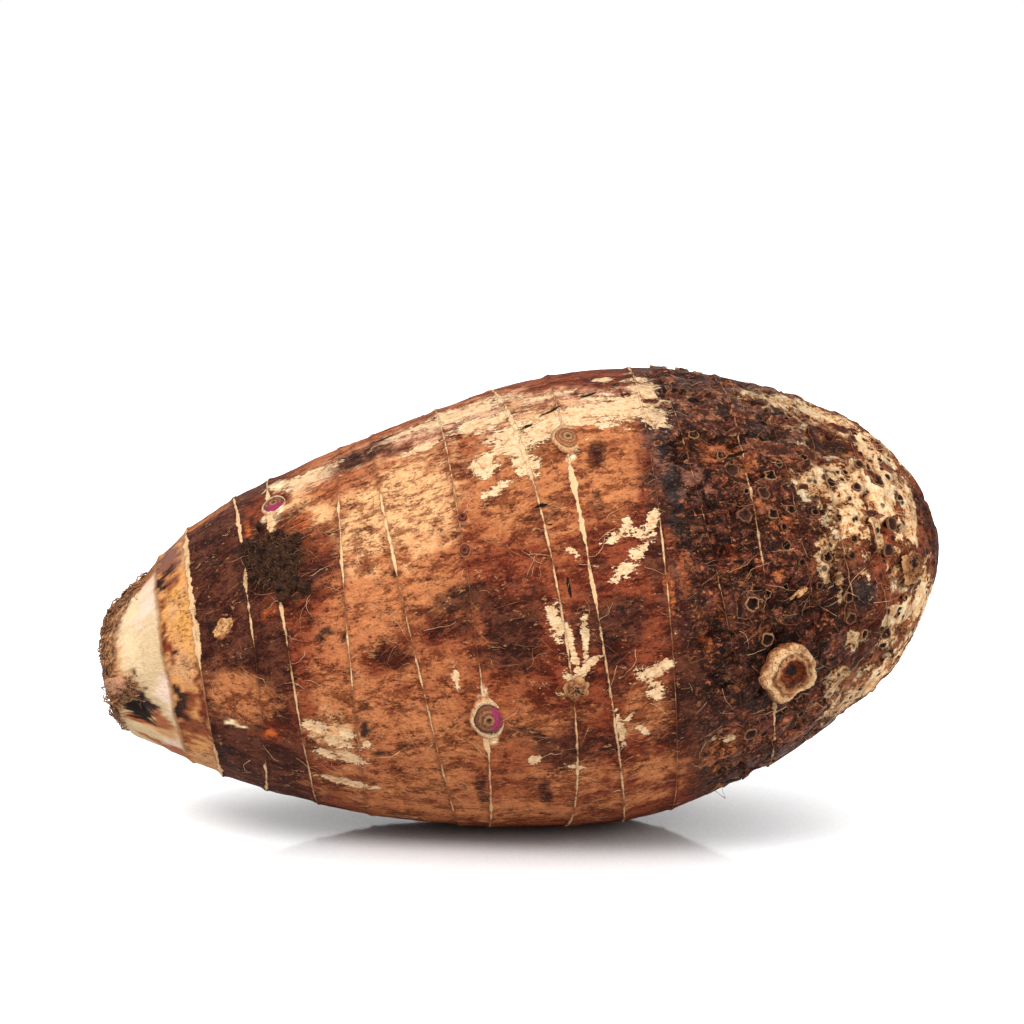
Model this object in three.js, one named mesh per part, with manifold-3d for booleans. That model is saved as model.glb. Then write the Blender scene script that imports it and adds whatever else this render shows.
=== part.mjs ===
// A whole taro corm, as lifted and trimmed, lying on its side. Millimetres, +Z up.
// The shoot end, where the leaf stalks were cut off, points towards -X, and the blunt root end towards +X.
// The corm grew as one piece, so it is one solid: a long egg-shaped body ringed by leaf scars, with side buds
// on some of the scars, one short side shoot that stands proud, and a small flat where it rests.
import * as THREE from "three";
import { mergeVertices } from "three/addons/utils/BufferGeometryUtils.js";
import Module from "manifold-3d";

const wasm = await Module();
wasm.setup();

// Where the corm's axis starts, at the cut shoot end, and how steeply it rises towards the root end
const AXIS_START = new THREE.Vector3(-105, 0, 41.4);
const AXIS_RISE_DEG = 8.1;

// The corm seen from the side: [distance along the axis, reach above it, reach below it].
// The first rows are the cut face, where each cut leaf base stands a little ahead of the one inside it.
const OUTLINE = [
  [5, -3, 3],
  [4.7, 0, 6],
  [3, 1, 7.2],
  [2.6, 3.2, 9.4],
  [0.6, 5.5, 11.5],
  [1.2, 8.5, 14.8],
  [3, 11, 18],
  [7, 15.3, 21.4],
  [13, 20, 25],
  [20, 25.8, 29.2],
  [28, 31.4, 34.2],
  [40, 37.1, 40.3],
  [56, 42.4, 46.4],
  [72, 46.5, 50.6],
  [90, 50.3, 54.6],
  [108, 53.8, 57.4],
  [124, 55.6, 58.4],
  [138, 55.3, 56.8],
  [152, 52.8, 53.2],
  [168, 47.3, 47.2],
  [184, 39.9, 38.2],
  [196, 32, 29.5],
  [205, 22, 17.5],
  [210.5, 11.5, 7],
  [212, 2, -2],
];
const FIRST_BODY_ROW = 4; // from this row on, the distance along the axis only grows
const WIDTH_SHARE = 0.98; // front-to-back width over height

// Leaf scars round the corm: where each crosses the front, the top and the underside, along the axis,
// and how far its edge stands up. The skin on the root side of an edge is the outer layer.
const LEAF_SCARS = [
  { front: 19.3, top: 17.7, under: 18.7, edge: 1.1 },
  { front: 28.4, top: 25.8, under: 25.2, edge: 1.2 },
  { front: 42.4, top: 38.6, under: 34.6, edge: 0.8 },
  { front: 50.9, top: 47.8, under: 48, edge: 0.7 },
  { front: 65.2, top: 66.7, under: 61.2, edge: 0.6 },
  { front: 81, top: 75, under: 82.9, edge: 0.6 },
  { front: 95.6, top: 91.8, under: 89.2, edge: 0.6 },
  { front: 116.5, top: 106.3, under: 107, edge: 0.6 },
  { front: 124.8, top: 120.6, under: 123.3, edge: 0.7 },
  { front: 141.1, top: 141.1, under: 135.5, edge: 0.6 },
  { front: 154.2, top: 147.3, under: 154, edge: 0.7 },
  { front: 164.6, top: 162.3, under: 160.6, edge: 0.6 },
  { front: 175.5, top: 171.5, under: 174, edge: 0.5 },
  { front: 185.6, top: 180.5, under: 186, edge: 0.5 },
  { front: 193.6, top: 191.5, under: 194, edge: 0.5 },
  { front: 201.5, top: 200.5, under: 201, edge: 0.4 },
];
const SCAR_HALF_WIDTH = 0.9;

// Round buds on the scars: [number of the scar, degrees round from the front towards the top, radius]
const BUDS = [
  [3, 59, 2.9],
  [6, -17.5, 3.7],
  [8, 51, 3],
  [7, -12, 3],
  [4, 168, 3.2],
  [6, 138, 2.6],
  [9, -150, 3.4],
  [10, 120, 2.8],
];
const BUD_PROUD = 0.8;

// The one side shoot that grew out, broken off short: place along the axis, degrees round, and its size
const SIDE_SHOOT = {
  along: 166.2,
  around: -20.8,
  radius: 7.3,
  height: 5.2,
  hollowRadius: 3.4,
  hollowDepth: 2.4,
};

// Low swellings and hollows of the skin: place along the axis, degrees round, half length, half width, height
const SWELLINGS = [
  { along: 50, around: 31, length: 8.5, width: 9, height: 1.9 }, // torn leaf base, with soil and fibres
  { along: 187, around: 58, length: 7, width: 9, height: -1.6 }, // scar of a lost side corm
  { along: 203, around: -6, length: 5, width: 6, height: 1.3 }, // scar by the root end
  { along: 176, around: 150, length: 9, width: 8, height: -1.4 },
  { along: 8.5, around: -28, length: 5, width: 7, height: -3.2 }, // hollow in the cut stalks
];

// The skin's grid: faces round the corm, and the lines round it. The lines before the first scar are given
// as row numbers of the outline, and the others as shares of the way from one scar to the next.
const COLUMNS = 60;
const LINES_BEFORE_SCARS = [1, 2, 3, 4, 5, 6, 7, 7.7, 8.3];
const SHARES_BETWEEN_SCARS = [0, 0.12, 0.5, 0.88];
const SHARES_AFTER_SCARS = [0, 0.25, 0.45, 0.62, 0.78, 0.9];

const REST_PATCH_DEPTH = 0.6; // how much of the belly is pressed flat where the corm lies
const CUTTER = [300, 200, 40];

const radians = THREE.MathUtils.degToRad;

// A smooth curve through the outline's rows, at row number t
function outlineAt(t) {
  const last = OUTLINE.length - 1;
  const i = Math.min(Math.floor(t), last - 1);
  const f = t - i;
  const row = (n) => OUTLINE[THREE.MathUtils.clamp(n, 0, last)];
  // Past a closed end the curve runs on down the other side, so the end is round and not pointed
  const before = i > 0 ? row(i - 1) : mirrored(row(1));
  const after = i + 2 <= last ? row(i + 2) : mirrored(row(last - 1));
  return row(i).map((b, n) => {
    const [a, c, d] = [before[n], row(i + 1)[n], after[n]];
    return b + 0.5 * f * (c - a + f * (2 * a - 5 * b + 4 * c - d + f * (3 * (b - c) + d - a)));
  });
}

// The same row seen from the other side of the axis
function mirrored([along, above, below]) {
  return [along, -below, -above];
}

// The row number at a distance along the axis, found by halving
function rowAt(along) {
  let [low, high] = [FIRST_BODY_ROW, OUTLINE.length - 1];
  while (high - low > 1e-6) {
    const middle = (low + high) / 2;
    if (outlineAt(middle)[0] < along) low = middle;
    else high = middle;
  }
  return low;
}

// Where a scar runs: its distance along the axis at an angle round the corm
function scarAt({ front, top, under }, angle) {
  const middle = (top + under) / 2;
  return middle + ((top - under) / 2) * Math.sin(angle) + (front - middle) * Math.cos(angle);
}

// How far the skin stands off the smooth outline
function relief(along, angle) {
  const lumps =
    0.7 * Math.sin(2 * angle + 0.6 + along / 47) * Math.sin(along / 31 + 0.5) +
    0.45 * Math.sin(3 * angle - along / 23) * Math.sin(along / 19 + 1.3);
  let edges = 0;
  for (const scar of LEAF_SCARS) {
    const past = along - scarAt(scar, angle);
    const crest = Math.exp(-((past / SCAR_HALF_WIDTH) ** 2));
    const layer = past > 0 ? Math.exp(-past / 5) : 0;
    edges += scar.edge * (0.5 * crest + 0.45 * layer);
  }
  let swellings = 0;
  for (const s of SWELLINGS) {
    const [, above, below] = outlineAt(rowAt(s.along));
    const turn = Math.atan2(Math.sin(angle - radians(s.around)), Math.cos(angle - radians(s.around)));
    const across = (turn * (above + below)) / 2 / s.width;
    swellings += s.height * Math.exp(-(((along - s.along) / s.length) ** 2) - across ** 2);
  }
  const offTheEnds = THREE.MathUtils.smoothstep(along, 4, 24) - THREE.MathUtils.smoothstep(along, 190, 211);
  return lumps * offTheEnds + edges + swellings;
}

// A point of the skin: t is the outline's row number, angle runs from the front (0) over the top (90 degrees)
function skinPoint(t, angle) {
  const [along, above, below] = outlineAt(t);
  const radius = (above + below) / 2;
  const share = THREE.MathUtils.smoothstep(radius, 0, 8);
  const reach = Math.max(radius + relief(along, angle) * share, 0);
  return new THREE.Vector3(
    along,
    -reach * Math.cos(angle) * WIDTH_SHARE,
    (above - below) / 2 + reach * Math.sin(angle),
  )
    .applyAxisAngle(new THREE.Vector3(0, 1, 0), -radians(AXIS_RISE_DEG))
    .add(AXIS_START);
}

// The grid's lines round the corm, each giving the outline's row number at an angle
function gridLines() {
  const lines = LINES_BEFORE_SCARS.map((t) => () => t);
  for (let i = 0; i + 1 < LEAF_SCARS.length; i++) {
    for (const share of SHARES_BETWEEN_SCARS) {
      lines.push((angle) => {
        const [from, to] = [scarAt(LEAF_SCARS[i], angle), scarAt(LEAF_SCARS[i + 1], angle)];
        return rowAt(THREE.MathUtils.lerp(from, to, share));
      });
    }
  }
  const lastScar = LEAF_SCARS[LEAF_SCARS.length - 1];
  for (const share of SHARES_AFTER_SCARS) {
    lines.push((angle) => THREE.MathUtils.lerp(rowAt(scarAt(lastScar, angle)), OUTLINE.length - 1, share));
  }
  return lines;
}

function bodyGeometry() {
  const lines = gridLines();
  const positions = [];
  const faces = [];
  positions.push(...skinPoint(0, 0));
  for (const line of lines) {
    for (let c = 0; c < COLUMNS; c++) {
      const angle = (2 * Math.PI * c) / COLUMNS;
      positions.push(...skinPoint(line(angle), angle));
    }
  }
  positions.push(...skinPoint(OUTLINE.length - 1, 0));
  const vertex = (row, column) => 1 + row * COLUMNS + (column % COLUMNS);
  const rootEnd = 1 + lines.length * COLUMNS;
  for (let c = 0; c < COLUMNS; c++) {
    faces.push(0, vertex(0, c), vertex(0, c + 1));
    for (let r = 0; r < lines.length - 1; r++) {
      const [a, b, d, e] = [vertex(r, c), vertex(r, c + 1), vertex(r + 1, c), vertex(r + 1, c + 1)];
      faces.push(a, d, b, b, d, e);
    }
    faces.push(rootEnd, vertex(lines.length - 1, c + 1), vertex(lines.length - 1, c));
  }
  const geometry = new THREE.BufferGeometry();
  geometry.setAttribute("position", new THREE.Float32BufferAttribute(positions, 3));
  geometry.setIndex(faces);
  return geometry;
}

// Turns a lathe solid, made round +Y from y = 0, to stand on the skin at a place
function onSkin(geometry, along, aroundDeg) {
  const angle = radians(aroundDeg);
  const t = rowAt(along);
  const place = skinPoint(t, angle);
  const lengthways = skinPoint(t + 0.2, angle).sub(skinPoint(t - 0.2, angle));
  const sideways = skinPoint(t, angle + 0.1).sub(skinPoint(t, angle - 0.1));
  const out = lengthways.cross(sideways).normalize();
  if (out.dot(place.clone().sub(AXIS_START).setX(0)) < 0) out.negate();
  geometry.applyQuaternion(new THREE.Quaternion().setFromUnitVectors(new THREE.Vector3(0, 1, 0), out));
  return geometry.translate(...place);
}

function lathe(profile, segments) {
  return new THREE.LatheGeometry(
    profile.map(([r, y]) => new THREE.Vector2(r, y)),
    segments,
  );
}

function bud([scar, aroundDeg, radius]) {
  const root = -2.5;
  const profile = [
    [0, root],
    [radius, root],
    [radius, BUD_PROUD * 0.35],
    [radius * 0.75, BUD_PROUD],
    [radius * 0.3, BUD_PROUD * 1.25],
    [0, BUD_PROUD * 1.3],
  ];
  return onSkin(lathe(profile, 12), scarAt(LEAF_SCARS[scar], radians(aroundDeg)), aroundDeg);
}

function sideShoot({ along, around, radius, height, hollowRadius, hollowDepth }) {
  const profile = [
    [0, -4],
    [radius * 0.9, -4],
    [radius, 0],
    [radius, height * 0.6],
    [radius * 0.92, height * 0.85],
    [radius * 0.74, height],
    [hollowRadius, height * 0.93],
    [hollowRadius * 0.85, height - hollowDepth],
    [hollowRadius * 0.4, height - hollowDepth * 0.8],
    [0, height - hollowDepth * 0.7],
  ];
  return onSkin(lathe(profile, 24), along, around);
}

function solidOf(geometry) {
  geometry.deleteAttribute("normal");
  geometry.deleteAttribute("uv");
  const merged = mergeVertices(geometry, 1e-3);
  return new wasm.Manifold(
    new wasm.Mesh({
      numProp: 3,
      vertProperties: merged.attributes.position.array,
      triVerts: new Uint32Array(merged.index.array),
    }),
  );
}

function geometryOf(solid) {
  const { vertProperties, triVerts } = solid.getMesh();
  const geometry = new THREE.BufferGeometry();
  geometry.setAttribute("position", new THREE.BufferAttribute(vertProperties, 3));
  geometry.setIndex(new THREE.BufferAttribute(triVerts, 1));
  geometry.computeVertexNormals();
  return geometry;
}

// Lets the belly down below the rest plane by the patch's depth, cuts it off flat, and centres the corm
function pressedFlat(solid) {
  const { min, max } = solid.boundingBox();
  const middle = [(min[0] + max[0]) / 2, (min[1] + max[1]) / 2];
  const below = new THREE.BoxGeometry(...CUTTER).translate(0, 0, -CUTTER[2] / 2);
  return solid.translate([-middle[0], -middle[1], -REST_PATCH_DEPTH - min[2]]).subtract(solidOf(below));
}

let corm = solidOf(bodyGeometry());
for (const place of BUDS) corm = corm.add(solidOf(bud(place)));
corm = corm.add(solidOf(sideShoot(SIDE_SHOOT)));
corm = pressedFlat(corm);

const skin = new THREE.MeshStandardMaterial({ color: 0x6b3a20, roughness: 0.7, metalness: 0 });
const mesh = new THREE.Mesh(geometryOf(corm), skin);
mesh.name = "taro_corm";

const taroRoot = new THREE.Group();
taroRoot.name = "taro_root";
taroRoot.add(mesh);

export default taroRoot;
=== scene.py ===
import math

import bpy
import numpy as np
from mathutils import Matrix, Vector

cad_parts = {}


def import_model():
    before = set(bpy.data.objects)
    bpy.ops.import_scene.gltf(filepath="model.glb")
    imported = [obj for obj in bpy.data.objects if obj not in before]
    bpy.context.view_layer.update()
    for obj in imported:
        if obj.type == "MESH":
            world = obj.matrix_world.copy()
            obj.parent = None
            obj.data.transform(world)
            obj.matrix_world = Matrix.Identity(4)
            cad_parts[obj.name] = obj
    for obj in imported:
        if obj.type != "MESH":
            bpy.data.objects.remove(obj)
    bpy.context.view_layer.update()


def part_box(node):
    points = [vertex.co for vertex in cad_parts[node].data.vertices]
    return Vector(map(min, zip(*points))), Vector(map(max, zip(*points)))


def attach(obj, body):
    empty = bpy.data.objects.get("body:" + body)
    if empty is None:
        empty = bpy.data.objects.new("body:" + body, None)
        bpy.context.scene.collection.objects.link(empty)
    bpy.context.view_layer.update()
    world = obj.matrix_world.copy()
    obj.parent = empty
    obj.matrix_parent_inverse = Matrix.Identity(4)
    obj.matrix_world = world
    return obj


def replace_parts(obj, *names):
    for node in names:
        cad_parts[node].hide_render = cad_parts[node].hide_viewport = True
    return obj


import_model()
NODE = "taro_corm"
MM = 0.001

# ---------------------------------------------------------------------------------------------------------
# The corm's measures, in millimetres and degrees. "along" is the distance along the corm's axis from the
# trimmed shoot end, and "around" is the angle round it from the front (0) over the top (90).

AXIS_RISE = 8.1  # towards the root end
WIDTH_SHARE = 0.98  # front-to-back width over height
REST_DEPTH = 0.6  # how far the belly is pressed flat
RELIEF_DEPTH = 0.35  # how far the fine relief sits inside the smooth skin, so that its crests reach it
FAR = 99.0

# [distance along the axis, reach above it, reach below it]; the first rows are the cut face
OUTLINE = np.array([
    [5, -3, 3], [4.7, 0, 6], [3, 1, 7.2], [2.6, 3.2, 9.4], [0.6, 5.5, 11.5], [1.2, 8.5, 14.8], [3, 11, 18],
    [7, 15.3, 21.4], [13, 20, 25], [20, 25.8, 29.2], [28, 31.4, 34.2], [40, 37.1, 40.3], [56, 42.4, 46.4],
    [72, 46.5, 50.6], [90, 50.3, 54.6], [108, 53.8, 57.4], [124, 55.6, 58.4], [138, 55.3, 56.8],
    [152, 52.8, 53.2], [168, 47.3, 47.2], [184, 39.9, 38.2], [196, 32, 29.5], [205, 22, 17.5],
    [210.5, 11.5, 7], [212, 2, -2],
])
FIRST_BODY_ROW = 4
LAST_ROW = len(OUTLINE) - 1

# Leaf scars: where each crosses the front, the top and the underside, and how high its edge stands
SCARS = np.array([
    [19.3, 17.7, 18.7, 1.1], [28.4, 25.8, 25.2, 1.2], [42.4, 38.6, 34.6, 0.8],
    [50.9, 47.8, 48, 0.7], [65.2, 66.7, 61.2, 0.6], [81, 75, 82.9, 0.6],
    [95.6, 91.8, 89.2, 0.6], [116.5, 106.3, 107, 0.6], [124.8, 120.6, 123.3, 0.7],
    [141.1, 141.1, 135.5, 0.6], [154.2, 147.3, 154, 0.7], [164.6, 162.3, 160.6, 0.6],
    [175.5, 171.5, 174, 0.5], [185.6, 180.5, 186, 0.5], [193.6, 191.5, 194, 0.5],
    [201.5, 200.5, 201, 0.4],
])

# The half width of each leaf scar's pale line, by the angle round the corm: [angle, half width]
LINE_WIDTHS = [
    [[-90, 0]],
    [[-70, 0.4], [-55, 0.9], [-40, 0.8], [-35, 0.15], [2, 0.2], [9, 0.8], [30, 1.1], [60, 1.0], [78, 0.5]],
    [[-70, 0.3], [-40, 0.45], [-35, 0], [7, 0], [12, 0.25], [22, 0.6], [34, 0.6], [38, 0], [46, 0], [50, 0.5],
     [62, 0.8], [70, 0.5], [85, 0.2]],
    [[-70, 0.2], [-40, 0.22], [0, 0.3], [12, 0.3], [20, 0.55], [24, 0], [46, 0], [50, 0.9], [70, 0.8],
     [85, 0.4]],
    [[-70, 0.14], [-30, 0.14], [0, 0.2], [20, 0.36], [50, 0.46], [56, 0]],
    [[-70, 0.2], [-30, 0.26], [0, 0.24], [22, 0.12], [26, 0.42], [48, 0.5], [55, 0]],
    [[-70, 0.25], [-38, 0.4], [-32, 0.3], [-24, 0.9], [-12, 0.6], [-4, 0.2], [0, 0.04], [30, 0.1],
     [45, 0.3], [70, 0.2]],
    [[-70, 0.24], [-34, 0.4], [-18, 0.24], [-14, 0], [-9, 0], [-5, 0.4], [10, 0.26], [36, 0.36], [48, 0.8],
     [76, 0.9], [85, 0.4]],
    [[-70, 0.3], [-30, 0.42], [-18, 0.3], [5, 0.42], [22, 0.5], [45, 0.9], [56, 0.2], [85, 0.1]],
    [[-70, 0.12], [-20, 0.08], [4, 0.14], [19, 0.3], [27, 0.12], [48, 0.1], [60, 0.3], [80, 0.3]],
    [[-70, 0.04], [0, 0.05], [9, 0.2], [14, 0.08], [30, 0.2], [50, 0.24], [80, 0.05]],
    [[-70, 0.3], [-50, 0.4], [-31, 0.6], [-29, 0], [0, 0], [2, 0.26], [50, 0.3], [62, 0.15]],
    [[-90, 0.08]],
    [[-20, 0.05], [0, 0.24], [12, 0.28], [40, 0.15]],
    [[0, 0.1], [20, 0.3], [40, 0.1]],
    [[-90, 0.05]],
]

# Colours as they look on screen
IVORY = (214, 184, 142)
CREAM = (230, 200, 158)
PINK_CREAM = (236, 204, 182)
STRAW = (208, 154, 106)
TAN = (168, 102, 62)
FAWN = (160, 92, 56)
BROWN = (140, 72, 42)
GOLD = (218, 156, 84)
BAND_GROUND = (214, 150, 92)
ORANGE = (178, 84, 36)
RUSSET = (116, 50, 28)
UMBER = (78, 36, 24)
DARK = (46, 25, 19)
SOOT = (27, 17, 13)
# MAUVE on the upper bark is a painted sheen where the bark catches the light.
MAUVE = (130, 86, 72)
# SLATE is a bluish grey on the dark bark, partly painted sheen.
SLATE = (60, 48, 48)
ROSE = (204, 152, 120)
OXBLOOD = (112, 54, 38)

# How much each surface shines
SKIN_SPECULAR = 0.08
RINGS_SPECULAR = 0.12
FINE_ROOT_SPECULAR = 0.2


def arc(along, around, length, width, start, end, thickness):
    """Patches in a row along part of an ellipse on the skin, from the start angle to the end one."""
    radius = 38  # of the corm, near its root end
    patches = []
    for turn in np.radians(np.linspace(start, end, max(3, round(abs(end - start) / 22)))):
        across = math.degrees(width * math.sin(turn) / radius)
        slope = math.degrees(math.atan2(width * math.cos(turn), -length * math.sin(turn)))
        place = along + length * math.cos(turn)
        patches.append([place, around + across, (length + width) * 0.2, thickness, slope])
    return patches


# The ground colour of the skin along the corm: (along, colour)
GROUND = [
    (28, UMBER), (47, UMBER), (53, RUSSET), (62, FAWN), (76, FAWN), (98, BROWN), (112, BROWN),
    (122, RUSSET), (138, RUSSET), (144, UMBER), (150, UMBER), (156, OXBLOOD), (176, OXBLOOD), (184, RUSSET),
    (204, BROWN), (212, UMBER),
]
# Soft patches of colour over it, as (colour, softness of their edge, patches), and each patch as
# [along, around, half length, half width, turn from the axis where it has one]
PAINT = [
    (TAN, 0.9, [[80, 20, 16, 20], [84, -22, 13, 12], [62, -12, 8, 10], [109, -19, 9, 8], [130, 42, 10, 13],
        [118, 46, 8, 12], [80, -40, 10, 6], [134, -22, 7, 8], [38, -9, 9, 8], [60, 76, 9, 8],
        [100, 74, 20, 12], [70, -44, 18, 7], [30, 84, 8, 5], [112, -40, 12, 7], [132, -40, 12, 6],
        [137, 56, 6, 8]]),
    (STRAW, 0.9, [[80, 46, 16, 15], [72, 40, 8, 12], [88, 44, 8, 14], [110, 68, 12, 9], [60, 66, 6, 5],
        [58, -24, 6, 7]]),
    # The ROSE patch at 142 along is a painted sheen on the top of the bark.
    (ROSE, 0.9, [[96, 73, 22, 8], [126, 64, 15, 9], [68, 70, 12, 6], [110, 58, 8, 5], [142, 66, 4, 9]]),
    (STRAW, 0.9, [[108, 52, 9, 7], [120, 60, 8, 6]]),
    (TAN, 0.9, [[126, 50, 9, 9], [108, 36, 10, 13], [131, 38, 9, 12], [119, 32, 7, 9], [107, 54, 8, 6]]),
    (RUSSET, 0.8, [[112, -2, 7, 17], [128, -4, 8, 11], [86, 7, 10, 5], [104, 20, 8, 8], [112, 12, 5, 14],
        [129, 13, 9, 7], [56, 20, 7, 6], [62, 34, 4, 7], [74, 2, 6, 4], [44, -22, 5, 3], [158, -30, 8, 10],
        [47, 66, 4, 7], [146, 12, 3.4, 8, 8], [150.5, 2, 3, 12, 8], [155, -40, 6, 6], [196, 14, 3, 6]]),
    # Painted sheen: greyish mauve where the upper bark catches the light.
    (MAUVE, 0.7, [[144, 42, 4, 15], [154, 60, 10, 8], [152, 34, 4, 6], [166, 66, 9, 6], [173, 52, 6, 6],
        [178, 30, 3, 5]]),
    (UMBER, 0.7, [[130, 46, 2, 2.6], [72, 71, 8, 4.6], [168, -6, 7, 7], [147, 0, 4, 20],
        [160, -20, 9, 10]]),
    (STRAW, 0.8, [[58, 58, 5, 4], [62, 50, 4, 5]]),
    (ORANGE, 0.8, [[57, 46, 1.6, 4], [43.5, 55, 1, 3], [48, 17, 2, 6], [43, -22, 2, 1]]),
    (FAWN, 0.9, [[69, 60, 9, 5]]),
    (UMBER, 0.9, [[127, 2, 14, 8], [113, -28, 8, 7], [142, 20, 4, 22], [142, -24, 4, 16], [34, 50, 6, 9],
        [36, 20, 8, 8], [46, 10, 6, 9], [33, -36, 6, 7], [104, 5, 9, 11], [94, 14, 7, 4], [130, 4, 10, 5],
        [106.6, -46, 1.6, 6], [91.4, -46, 1.4, 8], [54, 32, 10, 9], [186, 0, 9, 12], [190, -35, 7, 10]]),
    # Partly painted sheen: bluish grey patches on the dark bark.
    (SLATE, 0.6, [[145, 48, 3, 9], [146.5, 20, 2.4, 10], [175.5, -27, 4, 6.5], [189, -8, 2.6, 3.4],
        [162, -58, 3.4, 4], [146.5, 34, 2.4, 7], [171, 50, 5, 2.6], [157, 66, 6, 2.6]]),
    # Painted light: lighter tan along the underside, making up for the shade the key light leaves there.
    (TAN, 0.9, [[180, -54, 11, 6], [92, -56, 32, 8], [125, -54, 12, 6]]),
    (FAWN, 0.9, [[156, 44, 4, 4], [164, 40, 5, 4], [174, 40, 4, 4], [168, 24, 4, 4], [152, -44, 7, 7],
        [176, -50, 9, 8], [190, -46, 9, 6], [186, 14, 5, 6], [162, 74, 10, 5]]),
    (CREAM, 0.25, [[50.7, 76, 2.6, 5], [50.7, 58, 2.7, 4.6], [50.7, 52, 1.6, 4.4], [96, -12, 1.2, 2.4],
        [95.6, -23.4, 1.5, 3], [35, -21.5, 3, 0.9], [123.4, 45, 1.4, 2.6]]),
    (TAN, 0.2, [[35.6, 17.5, 2.6, 2, 28]]),
    (DARK, 0.4, [[60.5, 11, 2.6, 1.2], [64.5, 9, 1, 0.8], [66, -18.5, 1.1, 2.8, 6], [67.6, -28.5, 1.5, 1.7],
        [75, -27, 1.6, 1.2, 30], [79.5, 24, 1.2, 0.7], [57, 14, 1, 1]]),
    (DARK, 0.7, [[50.5, 36, 9, 8.6], [45, 43, 5, 3, -30]]),
    (RUSSET, 0.6, [[58.5, 38, 1.6, 5], [52, 26.5, 5, 1.4]]),
    (DARK, 0.6, [[187, 57, 6, 4.6], [204, -12, 2.6, 3], [200.4, -11, 1.4, 2]]),
    (TAN, 0.5, [[185, 60, 2.4, 1.2, 30], [189.6, 55, 2, 1.2, -20], [201.6, -4, 2.4, 2]]),
    (STRAW, 0.5, arc(187, 58, 7.4, 6.2, 60, 300, 0.8) + arc(202, -7, 4.6, 4.8, 150, 330, 0.9)),
    (CREAM, 0.4, arc(187, 58, 7.8, 6.6, 150, 260, 0.7) + arc(202.5, -8, 5.4, 5.6, 200, 320, 0.8)
      + [[181, 46, 5, 0.7, -60]]),
]
# Dark and rusty patches with ragged edges. The dark patch at [166, -21] round the side shoot is a painted
# shadow at its foot.
DIM = [
    [33, 50, 5, 8], [31.5, 22, 3, 8], [40, 9, 7, 4], [47.5, 5, 4, 9], [31, -38, 4, 6], [104.5, 3, 6, 8],
    [94, 14.5, 7, 2.6], [128, 5, 8, 4], [143.5, -20, 3, 10], [156, -12, 8, 13], [71.5, 71.5, 8, 4],
    [51, 33, 9, 9], [187, 58, 7, 6], [203.5, -10, 2.6, 3], [177, -10, 8, 11], [186.5, 58, 7, 4],
    [202, -7, 5, 5], [127, 17, 2, 2.4], [166, -21, 11, 10], [119, -10, 3, 2], [155, 22, 11, 7],
    [121, -29, 5.5, 5], [103, -23, 5, 3, -20], [127, -8, 3, 8], [67, -12, 1.4, 1.6], [137, -30, 4, 3],
    [116, 31, 4, 2.4], [79.5, 24, 1.5, 0.9], [106.6, -46, 1.4, 6], [91.4, -46, 1.2, 8], [130, 46, 2, 2.4],
    [75, 3, 5, 4], [88, 8, 7, 3], [128, 31, 1.6, 3], [145, 60, 1.5, 2], [152, 48, 4, 8], [165, 52, 6, 5],
    [160, 2, 5, 9], [188, 40, 3, 2], [193, 14, 2, 5], [200, 34, 2.4, 2], [190, -34, 8, 8], [199, 52, 5, 4],
    [208, 30, 3, 6], [45, -34, 5, 4],
]
RUSTY = [
    [168.5, 10, 3.4, 4.4], [172, -52, 10, 4], [148.6, -4, 2, 9, 8], [146, 12, 2.2, 7, 8], [151, -38, 4, 3],
    [172.5, 22, 2.4, 3], [176, 8, 2.6, 3.4], [195.5, 8, 1.6, 6], [162, 47, 4, 3], [158, 12, 2, 5],
    [163, -8, 1.5, 3], [144, 20, 2, 4], [160, 36, 3, 3], [178, 60, 4, 3], [153, 2, 1.6, 6],
    [142, 8, 1.5, 6], [186, 12, 2, 4], [180, -22, 2, 2], [186, 44, 4, 2],
]
# Soft patches of colour on the trimmed shoot end and on the band behind it
FLESH_PAINT = [
    (PINK_CREAM, 0.9, [[14, 52, 5, 8], [18, -10, 2, 5], [17, -50, 4, 4]]),
    (CREAM, 0.9, [[9, 20, 4, 6], [10, 55, 4, 5]]),
    (FAWN, 0.8, [[16, -62, 3, 5], [12, -56, 5, 1.4]]),
    (STRAW, 0.9, [[5, -4, 4, 6], [13, -36, 6, 4], [8, -8, 3, 5], [5.5, 18, 2, 6]]),
    (FAWN, 0.7, [[14.5, -28, 3, 3], [9, -40, 5, 1.2, 10], [4, 6, 2, 3], [13, 76, 6, 5], [6, 52, 2, 5]]),
    (UMBER, 0.5, [[8.2, -2, 1, 4, -20], [10.4, -13, 1.8, 4.6, -24], [12.5, -23, 2, 3, -20],
        [3, 12, 1.2, 3]]),
    # The larger SOOT patch, in the hollow at [8.6, -28], is painted shade.
    (SOOT, 0.25, [[8.6, -28, 4.8, 4, 8], [11.2, -17, 1.1, 3, -20]]),
]
BAND_PAINT = [
    (STRAW, 0.9, [[24, 34, 4, 7], [23.5, 4, 4, 6], [24, -54, 4, 5], [26, 60, 1.6, 9]]),
    (GOLD, 0.8, [[23.5, 42, 3, 4], [20, 24, 2, 6], [25.5, 24, 2, 6]]),
    (RUSSET, 0.7, [[20.3, 20, 1, 5], [27.2, -14, 1.2, 12], [21.5, 12, 1, 3]]),
    (BROWN, 0.7, [[23, -28, 5, 5], [21.4, 62, 3.4, 12], [24, -12, 2, 4]]),
    (MAUVE, 0.8, [[21.5, 70, 4, 9]]),
    (DARK, 0.5, [[21.4, -14, 1.7, 6, 6], [19.6, 50, 1.5, 3], [22.6, 12, 0.5, 1.5], [22, 54, 1, 2.4]]),
]
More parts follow.
